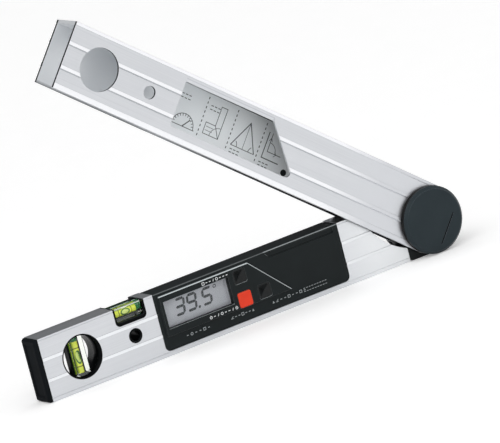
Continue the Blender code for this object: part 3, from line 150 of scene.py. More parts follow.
# The smallest step that a tone on a face tells apart, and where on a leg the painted light and shade begin
# and end.
# A leg's own axis points from its far end to the hinge, so places on the leg are negative.
HAIR = 0.0001
NECK_TONE = (-0.110, -0.060)
FAR_END_SHADE_SPAN = (-0.275, -0.285)
HINGE_SHADE_SPAN = (-0.18, -0.27)
OPEN_EDGE_SHADE_SPAN = (0.0030, 0.0060)
LOWER_LEG_FACE = 0.012
LOWER_LEG_INNER = 0.0098


def anodised_aluminium(name, leg_angle, face, inner, low, high, rib_highlight_tone, groove_shading_tone, neck_tone):
    """Etched and anodised extrusion: pale satin metal with soft lines along the leg.

    face and inner are how deep the outer and inner side of a plate lie from the middle plane, low and
    high are the leg's edges. The ribs carry a painted highlight, and the grooves a painted tone of light
    and shade: darker on the fold-out leg, paler on the lower leg. The walls cut through the plates at the
    far end are painted dark as shade. Near the hinge the face takes one even tone, painted paler on the
    lower leg as light. The inner side keeps the dull skin that etching leaves, and is painted darker
    along its open edge and near the hinge, as shade and as the mirrored black block.
    The die lines of the real profile are 0.2 mm apart; they are drawn 1 mm apart, so that they show.
    """
    finish, tree, shader = new_finish(name)
    place = add(tree, "ShaderNodeTexCoord")
    leg = add(
        tree,
        "ShaderNodeMapping",
        {"Location": hinge, "Rotation": (0.0, leg_angle, 0.0)},
        {"Vector": place.outputs["Object"]},
        vector_type="TEXTURE",
    )
    on_leg = add(tree, "ShaderNodeSeparateXYZ", links={0: leg.outputs[0]})
    depth = add(tree, "ShaderNodeMath", links={0: on_leg.outputs["Y"]}, operation="ABSOLUTE").outputs[0]
    drawn = add(tree, "ShaderNodeMapping", {"Scale": (7.0, 500.0, 1000.0)}, {"Vector": leg.outputs[0]})
    lines = add(tree, "ShaderNodeTexNoise", {"Scale": 1.0, "Detail": 3.0}, {"Vector": drawn.outputs[0]})
    cloud = add(tree, "ShaderNodeTexNoise", {"Scale": 26.0, "Detail": 2.0}, {"Vector": leg.outputs[0]})
    grit = add(tree, "ShaderNodeTexNoise", {"Scale": 2200.0, "Detail": 2.0}, {"Vector": leg.outputs[0]})

    # Painted highlight on the ribs; painted light and shade in the grooves beside them.
    rib = step_between(tree, depth, face + HAIR, face + 3 * HAIR)
    groove = both(
        tree,
        step_between(tree, depth, face - HAIR, face - 2 * HAIR),
        step_between(tree, depth, face - 5 * HAIR, face - 4 * HAIR),
    )
    facing = add(tree, "ShaderNodeSeparateXYZ", links={0: place.outputs["Normal"]})
    sideways = add(tree, "ShaderNodeMath", links={0: facing.outputs["Y"]}, operation="ABSOLUTE").outputs[0]
    inside_edges = both(
        tree,
        step_between(tree, on_leg.outputs["Z"], low + 3 * HAIR, low + 5 * HAIR),
        step_between(tree, on_leg.outputs["Z"], high - 3 * HAIR, high - 5 * HAIR),
    )
    in_plate = both(
        tree,
        step_between(tree, depth, inner - 2 * HAIR, inner),
        step_between(tree, depth, face + 2 * HAIR, face + HAIR),
    )
    # Painted shade: the walls cut through the plates at the far end, the end face and the holes, are painted
    # dark.
    far_end_wall_shade = both(tree, both(tree, inside_edges, in_plate), step_between(tree, sideways, 0.6, 0.3))
    far_end_wall_shade = both(tree, far_end_wall_shade, step_between(tree, on_leg.outputs["X"], *FAR_END_SHADE_SPAN))
    inside = both(tree, inside_edges, step_between(tree, depth, inner + 2 * HAIR, inner + HAIR))

    soft_lines = step_between(tree, lines.outputs["Fac"], 0.25, 0.75)
    tone = blend_colours(tree, soft_lines, "#CCCED2", "#D1D3D7")
    tone = blend_colours(tree, both(tree, cloud.outputs["Fac"], soft_lines), tone, "#D8DADD")
    tone = blend_colours(tree, rib, tone, rib_highlight_tone)
    tone = blend_colours(tree, groove, tone, groove_shading_tone)
    # Near the hinge the face takes one even tone; on the lower leg it is paler, a painted light.
    neck = step_between(tree, on_leg.outputs["X"], *NECK_TONE)
    tone = blend_colours(tree, neck, tone, neck_tone)
    tone = blend_colours(tree, far_end_wall_shade, tone, "#323538")
    # Painted shade on the inner side: darker along the open edge, and near-black towards the hinge, where
    # the black block is mirrored.
    open_edge = step_between(tree, on_leg.outputs["Z"], *(low + height for height in OPEN_EDGE_SHADE_SPAN))
    far_from_hinge = step_between(tree, on_leg.outputs["X"], *HINGE_SHADE_SPAN)
    inner_shaded_tone = blend_colours(tree, open_edge, "#7C7F82", "#DDE0E3")
    inner_shaded_tone = blend_colours(tree, far_from_hinge, "#17191B", inner_shaded_tone)
    tone = blend_colours(tree, inside, tone, inner_shaded_tone)
    tree.links.new(tone, shader.inputs["Base Color"])
    metal = add(tree, "ShaderNodeMapRange", {"To Min": 1.0, "To Max": 0.3}, {"Value": inside})
    tree.links.new(metal.outputs[0], shader.inputs["Metallic"])
    gloss = add(
        tree,
        "ShaderNodeMapRange",
        {"From Min": 0.3, "From Max": 0.7, "To Min": 0.36, "To Max": 0.40},
        {"Value": lines.outputs["Fac"]},
    )
    tree.links.new(gloss.outputs[0], shader.inputs["Roughness"])
    edge = add(tree, "ShaderNodeBevel", {"Radius": 0.0003}, samples=6)
    relief = add(
        tree,
        "ShaderNodeBump",
        {"Strength": 0.03, "Distance": 0.00004},
        {"Height": lines.outputs["Fac"], "Normal": edge.outputs[0]},
    )
    skin = add(
        tree,
        "ShaderNodeBump",
        {"Strength": 0.10, "Distance": 0.00003},
        {"Height": grit.outputs["Fac"], "Normal": relief.outputs[0]},
    )
    tree.links.new(skin.outputs[0], shader.inputs["Normal"])
    return finish


hinge_joint = next(joint for joint in frame["joints"] if joint["name"] == "foldout_hinge")
hinge = Vector(hinge_joint["pos_m"])
hinge.y = 0.0
opening = math.radians(-hinge_joint["range_deg"][0])
leg_low = cad_box[0][2] - hinge.z
base_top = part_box("base_profile")[1].z - hinge.z
lower_leg_metal = anodised_aluminium(
    "anodised aluminium, lower leg",
    0.0,
    LOWER_LEG_FACE,
    LOWER_LEG_INNER,
    leg_low,
    base_top,
    rib_highlight_tone="#ECEEF1",
    groove_shading_tone="#DCDFE2",
    neck_tone="#E4E6E8",
)
dress(lower_leg_metal, "base_profile")


# End cap and hinge block
# Both are injection-moulded ABS, dyed black, with a fine spark-eroded skin.
# The cap plugs into the far end of the profile, the block into the hinge end.

def moulded_abs(
    name, colours, roughness, grain_mm, depth_mm, shine=0.15, edge_highlight="#4A5052", highlight_shaping=None, dish=None
):
    """Spark-eroded ABS: a dark satin skin that breaks highlights into a fine grain.

    The edges are painted paler as a highlight, most where they face up towards the light. The optional
    function changes where the painted highlight falls, dish gives the height of a relief.
    """
    finish, tree, shader = new_finish(name, IOR=1.53, Specular_IOR_Level=shine)
    place = add(tree, "ShaderNodeTexCoord")
    grain = add(
        tree,
        "ShaderNodeTexNoise",
        {"Scale": 1000.0 / grain_mm, "Detail": 3.0, "Roughness": 0.6},
        {"Vector": place.outputs["Object"]},
    )
    cloud = add(
        tree, "ShaderNodeTexNoise", {"Scale": 45.0, "Detail": 2.0}, {"Vector": place.outputs["Object"]}
    )
    edge = add(tree, "ShaderNodeBevel", {"Radius": 0.0005}, samples=8)
    surface = add(tree, "ShaderNodeNewGeometry")
    likeness = add(
        tree,
        "ShaderNodeVectorMath",
        links={0: edge.outputs[0], 1: surface.outputs["Normal"]},
        operation="DOT_PRODUCT",
    )
    own_edge = add(
        tree,
        "ShaderNodeVectorTransform",
        links={0: edge.outputs[0]},
        vector_type="NORMAL",
        convert_from="WORLD",
        convert_to="OBJECT",
    )
    upward = add(tree, "ShaderNodeSeparateXYZ", links={0: own_edge.outputs[0]})
    upper_edge_weight = add(
        tree,
        "ShaderNodeMapRange",
        {"From Min": 0.1, "From Max": 0.5, "To Min": 0.15, "To Max": 1.0},
        {"Value": upward.outputs["Z"]},
    )
    # Painted highlight: edges, found from the bevel normal, turn paler, most where they face up towards the
    # light.
    edge_highlight_share = both(tree, step_between(tree, likeness.outputs["Value"], 0.99, 0.90), upper_edge_weight.outputs[0])
    if highlight_shaping is not None:
        edge_highlight_share = highlight_shaping(tree, edge_highlight_share)
    tone = blend_colours(tree, cloud.outputs["Fac"], colours[0], colours[1])
    tree.links.new(blend_colours(tree, edge_highlight_share, tone, edge_highlight), shader.inputs["Base Color"])
    gloss = add(
        tree,
        "ShaderNodeMapRange",
        {"To Min": roughness - 0.06, "To Max": roughness + 0.06},
        {"Value": grain.outputs["Fac"]},
    )
    tree.links.new(gloss.outputs[0], shader.inputs["Roughness"])
    relief = add(
        tree,
        "ShaderNodeBump",
        {"Strength": 0.25, "Distance": depth_mm / 1000.0},
        {"Height": grain.outputs["Fac"], "Normal": edge.outputs[0]},
    )
    if dish is not None:
        relief = add(
            tree,
            "ShaderNodeBump",
            {"Distance": 1.0},
            {"Height": dish(tree), "Normal": relief.outputs[0]},
        )
    tree.links.new(relief.outputs[0], shader.inputs["Normal"])
    return finish


# The real grain is 0.15 mm across; it is drawn 0.5 mm across, so that it shows.
black_abs = moulded_abs("black ABS, spark-eroded", ("#101314", "#15191A"), 0.42, 0.5, 0.03)
dress(black_abs, "hinge_block")
cap_abs = moulded_abs(
    "black ABS, coarse eroded, end cap", ("#101214", "#181B1E"), 0.60, 0.7, 0.04, 0.02, "#1E2225"
)
dress(cap_abs, "end_cap")


# Bearing of the hinge
# The sleeve and the two running washers are turned from white POM, a slippery plastic.
# They keep the aluminium plates off the moulded block.

bearing_pom, tree, shader = new_finish("white POM, turned", IOR=1.48)
place = add(tree, "ShaderNodeTexCoord")
centred = add(
    tree,
    "ShaderNodeMapping",
    {"Location": (-hinge.x, 0.0, -hinge.z)},
    {"Vector": place.outputs["Object"]},
)
# The tool marks of the real sleeve are 0.1 mm apart; they are drawn 1.5 mm apart, so that they show.
rings = add(
    tree,
    "ShaderNodeTexWave",
    {"Scale": 210.0, "Distortion": 0.4},
    {"Vector": centred.outputs[0]},
    wave_type="RINGS",
    rings_direction="Y",
)
tree.links.new(blend_colours(tree, rings.outputs["Fac"], "#DEDCD4", "#EAE8E1"), shader.inputs["Base Color"])
relief = add(
    tree, "ShaderNodeBump", {"Strength": 0.15, "Distance": 0.00002}, {"Height": rings.outputs["Fac"]}
)
tree.links.new(relief.outputs[0], shader.inputs["Normal"])
dress(bearing_pom, "hinge_bush", "front_thrust_washer", "rear_thrust_washer")


# Turned and stamped steel
# The axle is turned, the clamp stud is a plated bolt, and the contacts and coded disc are stamped.
# All show fine marks that run round or along the piece.

def plated_steel(name, colours, roughness, scale):
    """Plated steel: a brighter, harder metal than the legs, with fine tool marks."""
    finish, tree, shader = new_finish(name, Metallic=1.0)
    place = add(tree, "ShaderNodeTexCoord")
    along = add(tree, "ShaderNodeMapping", {"Scale": scale}, {"Vector": place.outputs["Object"]})
    marks = add(tree, "ShaderNodeTexNoise", {"Scale": 1.0, "Detail": 4.0}, {"Vector": along.outputs[0]})
    tree.links.new(
        blend_colours(tree, marks.outputs["Fac"], colours[0], colours[1]), shader.inputs["Base Color"]
    )
    gloss = add(
        tree,
        "ShaderNodeMapRange",
        {"To Min": roughness - 0.08, "To Max": roughness + 0.08},
        {"Value": marks.outputs["Fac"]},
    )
    tree.links.new(gloss.outputs[0], shader.inputs["Roughness"])
    return finish


dress(
    plated_steel("zinc-plated steel, turned", ("#9FA1A4", "#BFC1C3"), 0.28, (300, 1500, 300)),
    "hinge_axle",
    "clamp_stud",
)
dress(
    plated_steel("nickel-plated steel, stamped", ("#B5B3A8", "#CFCDC3"), 0.24, (200, 900, 900)),
    "battery_contact_outer",
    "battery_contact_inner",
    "encoder_disc",
)


# Boards
# The main board and the sensor board are glass-fibre laminate under green solder mask.
# They are screwed flat behind the display and beside the coded disc.

mask, tree, shader = new_finish("FR4 laminate, green solder mask", IOR=1.5, Roughness=0.3)
place = add(tree, "ShaderNodeTexCoord")
flat_on = add(
    tree, "ShaderNodeMapping", {"Rotation": (math.pi / 2, 0.0, 0.0)}, {"Vector": place.outputs["Object"]}
)
# Tracks show as paler lines under the mask; the real ones are 0.3 mm wide, these are 0.5 mm wide.
tracks = add(
    tree,
    "ShaderNodeTexBrick",
    {
        "Color1": linear("#0E4A2A"),
        "Color2": linear("#115231"),
        "Mortar": linear("#1C7A48"),
        "Scale": 60.0,
        "Mortar Size": 0.03,
    },
    {"Vector": flat_on.outputs[0]},
)
tree.links.new(tracks.outputs["Color"], shader.inputs["Base Color"])
dress(mask, "circuit_board", "encoder_reader")


# Battery compartment
# The tray is moulded black ABS, and the lid snaps in flush with the back.
# The cells wear a printed shrink sleeve: a dark body with a silver band at one end.

sleeve, tree, shader = new_finish("PVC shrink sleeve, cell", IOR=1.53, Roughness=0.22)
place = add(tree, "ShaderNodeTexCoord")
band = add(
    tree,
    "ShaderNodeTexWave",
    {"Scale": 20.0, "Distortion": 0.0},
    {"Vector": place.outputs["Object"]},
    wave_type="BANDS",
    bands_direction="X",
)
tone = add(tree, "ShaderNodeValToRGB", links={"Fac": band.outputs["Fac"]})
tone.color_ramp.interpolation = "CONSTANT"
tone.color_ramp.elements[0].color = linear("#2B2E33")
tone.color_ramp.elements[1].position = 0.8
tone.color_ramp.elements[1].color = linear("#8C9097")
tree.links.new(tone.outputs["Color"], shader.inputs["Base Color"])
dress(sleeve, "battery_1", "battery_2", "battery_3", "battery_4")
dress(black_abs, "battery_tray", "battery_door")


# Display
# A reflective liquid crystal cell: grey glass with dark segments, under a clear acrylic window.
# The figures show the angle at which the legs stand.

lcd_glass, tree, shader = new_finish("LCD glass, reflective", IOR=1.52, Roughness=0.25)
place = add(tree, "ShaderNodeTexCoord")
speckle = add(
    tree, "ShaderNodeTexNoise", {"Scale": 1600.0, "Detail": 2.0}, {"Vector": place.outputs["Object"]}
)
tone = blend_colours(tree, speckle.outputs["Fac"], "#B0B3B8", "#BEC1C6")
tree.links.new(tone, shader.inputs["Base Color"])
dress(lcd_glass, "lcd_module")

lens_acrylic, tree, shader = new_finish(
    "PMMA window, polished", IOR=1.2, Roughness=0.03, Transmission_Weight=1.0
)
place = add(tree, "ShaderNodeTexCoord")
haze = add(tree, "ShaderNodeTexNoise", {"Scale": 90.0, "Detail": 2.0}, {"Vector": place.outputs["Object"]})
tree.links.new(blend_colours(tree, haze.outputs["Fac"], "#F5F6F8", "#FFFFFF"), shader.inputs["Base Color"])
dress(lens_acrylic, "lcd_lens")


def on_lower_leg(reach, height, depth):
    """A point of the lower leg in the row frame, from its distance to the hinge."""
    return Vector((hinge.x - reach, depth, hinge.z + height))


def tile(builder, outline, film):
    """A thin flat tile with that convex outline; film turns an outline point to its front and back."""
    front = [builder.verts.new(film(*point)[0]) for point in outline]
    back = [builder.verts.new(film(*point)[1]) for point in outline]
    builder.faces.new(front)
    builder.faces.new(back[::-1])
    for i, j in zip(range(len(outline)), range(-1, len(outline) - 1)):
        builder.faces.new((front[i], front[j], back[j], back[i]))


# A sharp corner of a line is mitred to at most this share of its full length.
MITRE_LIMIT = 0.4


def stroke(builder, points, width, film, closed=False):
    """A thin flat line of that width through the points, with mitred corners."""
    count = len(points)
    sides = []
    for index, point in enumerate(points):
        before = points[index - 1] if index or closed else point
        after = points[(index + 1) % count] if index + 1 < count or closed else point
        arrive = (Vector(point) - Vector(before)).normalized()
        leave = (Vector(after) - Vector(point)).normalized()
        along = (arrive + leave).normalized()
        reference = leave if leave.length else arrive
        spread = width / 2 / max(MITRE_LIMIT, along.dot(reference))
        sides.append(Vector((-along.y, along.x)) * spread)
    rings = []
    for point, side in zip(points, sides):
        corners = (Vector(point) + side, Vector(point) - side)
        (left_front, left_back), (right_front, right_back) = [film(*corner) for corner in corners]
        rings.append([builder.verts.new(p) for p in (left_front, right_front, right_back, left_back)])
    steps = list(zip(rings, rings[1:] + rings[:1])) if closed else list(zip(rings, rings[1:]))
    for here, there in steps:
        for i in range(4):
            builder.faces.new((here[i], here[i - 1], there[i - 1], there[i]))
    if not closed:
        builder.faces.new(rings[0])
        builder.faces.new(rings[-1][::-1])


def printed_piece(name, builder, finish, body):
    """Finish a print as one object that rides on its body."""
    bmesh.ops.recalc_face_normals(builder, faces=builder.faces)
    mesh = bpy.data.meshes.new(name)
    builder.to_mesh(mesh)
    builder.free()
    mesh.materials.append(finish)
    piece = bpy.data.objects.new(name, mesh)
    bpy.context.scene.collection.objects.link(piece)
    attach(piece, body)
    return piece


def printing_ink(name, dark, light, roughness):
    """Screen ink: flat and even, with a faint mottle from the screen's mesh, drawn 0.6 mm wide."""
    finish, tree, shader = new_finish(name, IOR=1.5, Roughness=roughness)
    place = add(tree, "ShaderNodeTexCoord")
    mesh_marks = add(
        tree, "ShaderNodeTexNoise", {"Scale": 1700.0, "Detail": 1.0}, {"Vector": place.outputs["Object"]}
    )
    tree.links.new(
        blend_colours(tree, mesh_marks.outputs["Fac"], dark, light), shader.inputs["Base Color"]
    )
    return finish


lcd_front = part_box("lcd_module")[0].y
FILM = 0.00005
FIGURE_HEIGHT = 0.0135
FIGURE_WIDTH = 0.0084
FIGURE_PITCH = 0.0122
FIGURE_STROKE = 0.0023
FIGURE_SLANT = 0.15
FIGURE_FOOT = 0.0003
FIGURES_START = 0.2625
DEGREE_RADIUS = 0.0013
DEGREE_STROKE = 0.0007
DEGREE_SHIFT = 0.0004
DEGREE_DROP = 0.0008
# Shares of the stroke: the gap at a segment's end and the point's radius.
SEGMENT_GAP = 0.05
POINT_SIZE = 0.55
# Shares of the pitch: the point's distance from its figure and the room that it takes.
POINT_PLACE = 0.27
POINT_ROOM = 0.30
# Each segment of a figure runs between two corners; corners are shares of the width and the height.
SEGMENT_SHARES = {
    "top": ((0, 1), (1, 1)),
    "upper left": ((0, 0.5), (0, 1)),
    "upper right": ((1, 0.5), (1, 1)),
    "middle": ((0, 0.5), (1, 0.5)),
    "lower left": ((0, 0), (0, 0.5)),
    "lower right": ((1, 0), (1, 0.5)),
    "bottom": ((0, 0), (1, 0)),
}
LIT = {
    3: ("top", "upper right", "middle", "lower right", "bottom"),
    9: ("top", "upper left", "upper right", "middle", "lower right", "bottom"),
    5: ("top", "upper left", "middle", "lower right", "bottom"),
}


def lcd_film(along, height):
    """Front and back of the dark layer at a point of the display, measured to the right."""
    slanted = FIGURES_START - along - FIGURE_SLANT * height
    return (
        on_lower_leg(slanted, FIGURE_FOOT + height, lcd_front - FILM),
        on_lower_leg(slanted, FIGURE_FOOT + height, lcd_front),
    )


def segment(builder, start, end, offset):
    """One six-sided segment, a little shorter than the distance between its corners."""
    a = Vector((offset + start[0] * FIGURE_WIDTH, start[1] * FIGURE_HEIGHT))
    b = Vector((offset + end[0] * FIGURE_WIDTH, end[1] * FIGURE_HEIGHT))
    along = (b - a).normalized()
    aside = Vector((-along.y, along.x)) * FIGURE_STROKE / 2
    a += along * FIGURE_STROKE * SEGMENT_GAP
    b -= along * FIGURE_STROKE * SEGMENT_GAP
    shoulder = along * FIGURE_STROKE / 2
    outline = (
        a,
        a + shoulder - aside,
        b - shoulder - aside,
        b,
        b - shoulder + aside,
        a + shoulder + aside,
    )
    tile(builder, outline, lcd_film)


def circle(x, y, radius, steps):
    """Points on a circle."""
    return [
        (x + radius * math.cos(math.tau * i / steps), y + radius * math.sin(math.tau * i / steps))
        for i in range(steps)
    ]


builder = bmesh.new()
offset = 0.0
for figure in (3, 9, 5):
    for lit in LIT[figure]:
        segment(builder, *SEGMENT_SHARES[lit], offset)
    if figure == 9:
        point_x = offset + FIGURE_WIDTH + FIGURE_PITCH * POINT_PLACE
        tile(builder, circle(point_x, 0.0, FIGURE_STROKE * POINT_SIZE, 12), lcd_film)
        offset += FIGURE_PITCH * POINT_ROOM
    offset += FIGURE_PITCH
degree_sign = circle(offset + DEGREE_SHIFT, FIGURE_HEIGHT - DEGREE_DROP, DEGREE_RADIUS, 20)
stroke(builder, degree_sign, DEGREE_STROKE, lcd_film, closed=True)
lcd_dark = printing_ink("liquid crystal, switched dark", "#2E3436", "#3A4143", 0.3)
printed_piece("lcd_figures", builder, lcd_dark, "base")


# Display cover and buttons
# The cover and the black buttons are the same moulded ABS; the red button is a glossier one.
# Each button has a shallow four-sided dish for the fingertip.

def finger_dish(name, rise):
    """Height of a four-sided dish, deepest in the middle of the button."""
    low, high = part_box(name)
    middle = (low + high) / 2

    def height(tree):
        place = add(tree, "ShaderNodeTexCoord")
        from_middle = add(
            tree,
            "ShaderNodeVectorMath",
            {1: middle},
            {0: place.outputs["Object"]},
            operation="SUBTRACT",
        )
        size = add(tree, "ShaderNodeVectorMath", links={0: from_middle.outputs[0]}, operation="ABSOLUTE")
        parts = add(tree, "ShaderNodeSeparateXYZ", links={0: size.outputs[0]})
        farthest = add(
            tree, "ShaderNodeMath", links={0: parts.outputs["X"], 1: parts.outputs["Z"]}, operation="MAXIMUM"
        )
        slope = add(tree, "ShaderNodeMath", {1: rise}, {0: farthest.outputs[0]}, operation="MULTIPLY")
        return slope.outputs[0]

    return height


cover_face = -LOWER_LEG_FACE
panel_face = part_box("display_cover")[0].y
# The shallow slot beside the panel runs from its outer end towards the hinge. Its lower edge stays in
# shade, full within the core and fading out at the larger distance.
SLOT_END = 0.168
SLOT_LOW = 0.0198
SLOT_SHADE = 0.0018
SLOT_CORE = 0.0012


def cover_edge_highlight(tree, edge_highlight_share):
    """Paint the highlight on the rounded edges too, the panel's most, and leave the low edge of the slot
    without it.
    """
    place = add(tree, "ShaderNodeTexCoord")
    spot = add(tree, "ShaderNodeSeparateXYZ", links={0: place.outputs["Object"]})
    facing = add(tree, "ShaderNodeSeparateXYZ", links={0: place.outputs["Normal"]})
    # Painted highlight on the rounded faces that look up and to the front.
    rounded = both(
        tree,
        step_between(tree, facing.outputs["Z"], 0.25, 0.55),
        step_between(tree, facing.outputs["Z"], 0.95, 0.85),
    )
    rounded = both(tree, rounded, step_between(tree, facing.outputs["Y"], -0.2, -0.4))
    most = add(tree, "ShaderNodeMath", links={0: edge_highlight_share, 1: rounded}, operation="MAXIMUM")
    slot_end = hinge.x - SLOT_END
    over_slot = step_between(tree, spot.outputs["X"], slot_end, slot_end + 0.002)
    on_panel = step_between(tree, spot.outputs["Y"], cover_face + HAIR, cover_face - 2 * HAIR)
    strength = add(
        tree, "ShaderNodeMath", {1: 0.35, 2: 0.20}, {0: over_slot}, operation="MULTIPLY_ADD"
    )
    strength = add(tree, "ShaderNodeMath", links={0: strength.outputs[0], 1: on_panel}, operation="MAXIMUM")
    slot_low = hinge.z + SLOT_LOW
    below = step_between(tree, spot.outputs["Z"], slot_low + SLOT_SHADE, slot_low + SLOT_CORE)
    above = step_between(tree, spot.outputs["Z"], slot_low - SLOT_SHADE, slot_low - SLOT_CORE)
    in_slot = both(tree, both(tree, over_slot, below), above)
    clear = add(tree, "ShaderNodeMath", {0: 1.0}, {1: in_slot}, operation="SUBTRACT")
    return both(tree, both(tree, most.outputs[0], strength.outputs[0]), clear.outputs[0])


# The pale colour is the painted highlight on the cover's edges.
cover_abs = moulded_abs(
    "black ABS, fine eroded, display cover",
    ("#14191A", "#1A2021"),
    0.40,
    0.4,
    0.02,
    0.12,
    "#C9D0D2",
    highlight_shaping=cover_edge_highlight,
)
dress(cover_abs, "display_cover")
for name in ("hold_button", "mitre_button"):
    dress(
        moulded_abs(
            f"black ABS, {name.replace('_', ' ')}",
            ("#0B0E0F", "#121617"),
            0.30,
            0.5,
            0.02,
            0.25,
            "#2E3436",
            dish=finger_dish(name, 0.55),
        ),
        name,
    )
red_abs = moulded_abs(
    "red ABS, moulded",
    ("#DD3A22", "#E64329"),
    0.35,
    0.5,
    0.02,
    0.15,
    "#F07A60",
    dish=finger_dish("power_button", 0.12),
)
dress(red_abs, "power_button")


def panel_ink(reach, height):
    """Front and back of the ink on the cover's raised panel."""
    return on_lower_leg(reach, height, panel_face - FILM), on_lower_leg(reach, height, panel_face)


MARK_LINE = 0.00050
MARK_SIZE = 0.0011


def draw_mark(builder, kind, reach, height):
    """One plain symbol of the cover: a ring, square, slash, triangle, dash, angle or ring with a bar."""
    size = MARK_SIZE
    left = reach + size
    right = reach - size
    low = height - size
    high = height + size
    if kind in ("ring", "power"):
        stroke(builder, circle(reach, height, size, 16), MARK_LINE, panel_ink, closed=True)
    if kind == "power":
        stroke(builder, [(reach, height), (reach, height + size * 1.5)], MARK_LINE, panel_ink)
    if kind == "square":
        corners = [(left, low), (left, high), (right, high), (right, low)]
        stroke(builder, corners, MARK_LINE, panel_ink, closed=True)
    if kind == "slash":
        stroke(builder, [(reach + size * 0.4, low), (reach - size * 0.4, high)], MARK_LINE, panel_ink)
    if kind == "triangle":
        tile(builder, [(left, low), (right, low), (reach, high)], panel_ink)
    if kind == "dash":
        ends = [(reach + size * 0.8, height), (reach - size * 0.8, height)]
        stroke(builder, ends, MARK_LINE * 1.3, panel_ink)
    if kind == "angle":
        foot = height - size * 0.8
        stroke(builder, [(right, high), (left, foot), (right, foot)], MARK_LINE, panel_ink)


# Rows of symbols: the first symbol's reach and height, the spacing and the symbols.
MAIN_ROWS = (
    (0.2330, 0.0196, 0.0035, ("square", "dash", "dash", "slash", "ring", "dash", "dash", "dash")),
    (0.2335, -0.0112, 0.0038, ("power", "dash", "slash", "ring", "dash", "dash", "slash", "power")),
)
SIDE_ROWS = (
    (0.2134, -0.0183, 0.0036, ("angle", "dash", "dash", "square", "dash", "dash", "triangle")),
    (0.2600, -0.0182, 0.0044, ("dash", "ring", "dash", "dash", "square", "dash")),
    (
        0.1705,
        -0.0186,
        0.0041,
        ("triangle", "angle", "dash", "dash", "square", "dash", "dash", "square", "dash"),
    ),
)
# Two rows of short rules stand where the real cover has its words.
RULES_START = 0.1385
RULE_HEIGHTS = (-0.0172, -0.0201)
RULE_COUNT = 9
RULE_PITCH = 0.0028
RULE_LENGTH = 0.0018
for name, rows in (("cover_main_marks", MAIN_ROWS), ("cover_side_marks", SIDE_ROWS)):
    builder = bmesh.new()
    for first, height, spacing, kinds in rows:
        for index, kind in enumerate(kinds):
            draw_mark(builder, kind, first - spacing * index, height)
    if rows is SIDE_ROWS:
        for height in RULE_HEIGHTS:
            for index in range(RULE_COUNT):
                reach = RULES_START - RULE_PITCH * index
                stroke(builder, [(reach, height), (reach - RULE_LENGTH, height)], MARK_LINE, panel_ink)
        ink = printing_ink("grey screen ink, cover", "#8C9294", "#A3A9AB", 0.5)
    else:
        ink = printing_ink("white screen ink", "#D3D7D8", "#ECEFF0", 0.5)
    printed_piece(name, builder, ink, "base")


# Spirit-level vials
# Each is a clear acrylic block with a bored hole, filled with dyed spirit and closed with a green plug.
# Two black rings on the bore mark where the bubble stands when the leg is level or plumb.

for name in ("plumb_vial", "level_vial"):
    block_acrylic, tree, shader = new_finish(
        f"PMMA block, polished, {name.replace('_', ' ')}", IOR=1.3, Roughness=0.03, Transmission_Weight=1.0
    )
    place = add(tree, "ShaderNodeTexCoord")
    haze = add(
        tree, "ShaderNodeTexNoise", {"Scale": 120.0, "Detail": 2.0}, {"Vector": place.outputs["Object"]}
    )
    tone = blend_colours(tree, haze.outputs["Fac"], "#F6FBF0", "#FEFFFC")
    if name == "level_vial":
        # Light from the plug makes a green strip along the back of the block's top.
        spot = add(tree, "ShaderNodeSeparateXYZ", links={0: place.outputs["Object"]})
        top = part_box(name)[1].z
        strip = both(
            tree,
            step_between(tree, spot.outputs["Z"], top - 5 * HAIR, top - 3 * HAIR),
            step_between(tree, spot.outputs["Y"], -10 * HAIR, 5 * HAIR),
        )
        tone = blend_colours(tree, strip, tone, "#3FA677")
    tree.links.new(tone, shader.inputs["Base Color"])
    dress(block_acrylic, name)


# The bubble's size in shares of the filling's; it reaches right through the filling's depth.
BUBBLE_WIDTH = 0.70
BUBBLE_LENGTH = 0.46
BUBBLE_DEPTH = 4.0


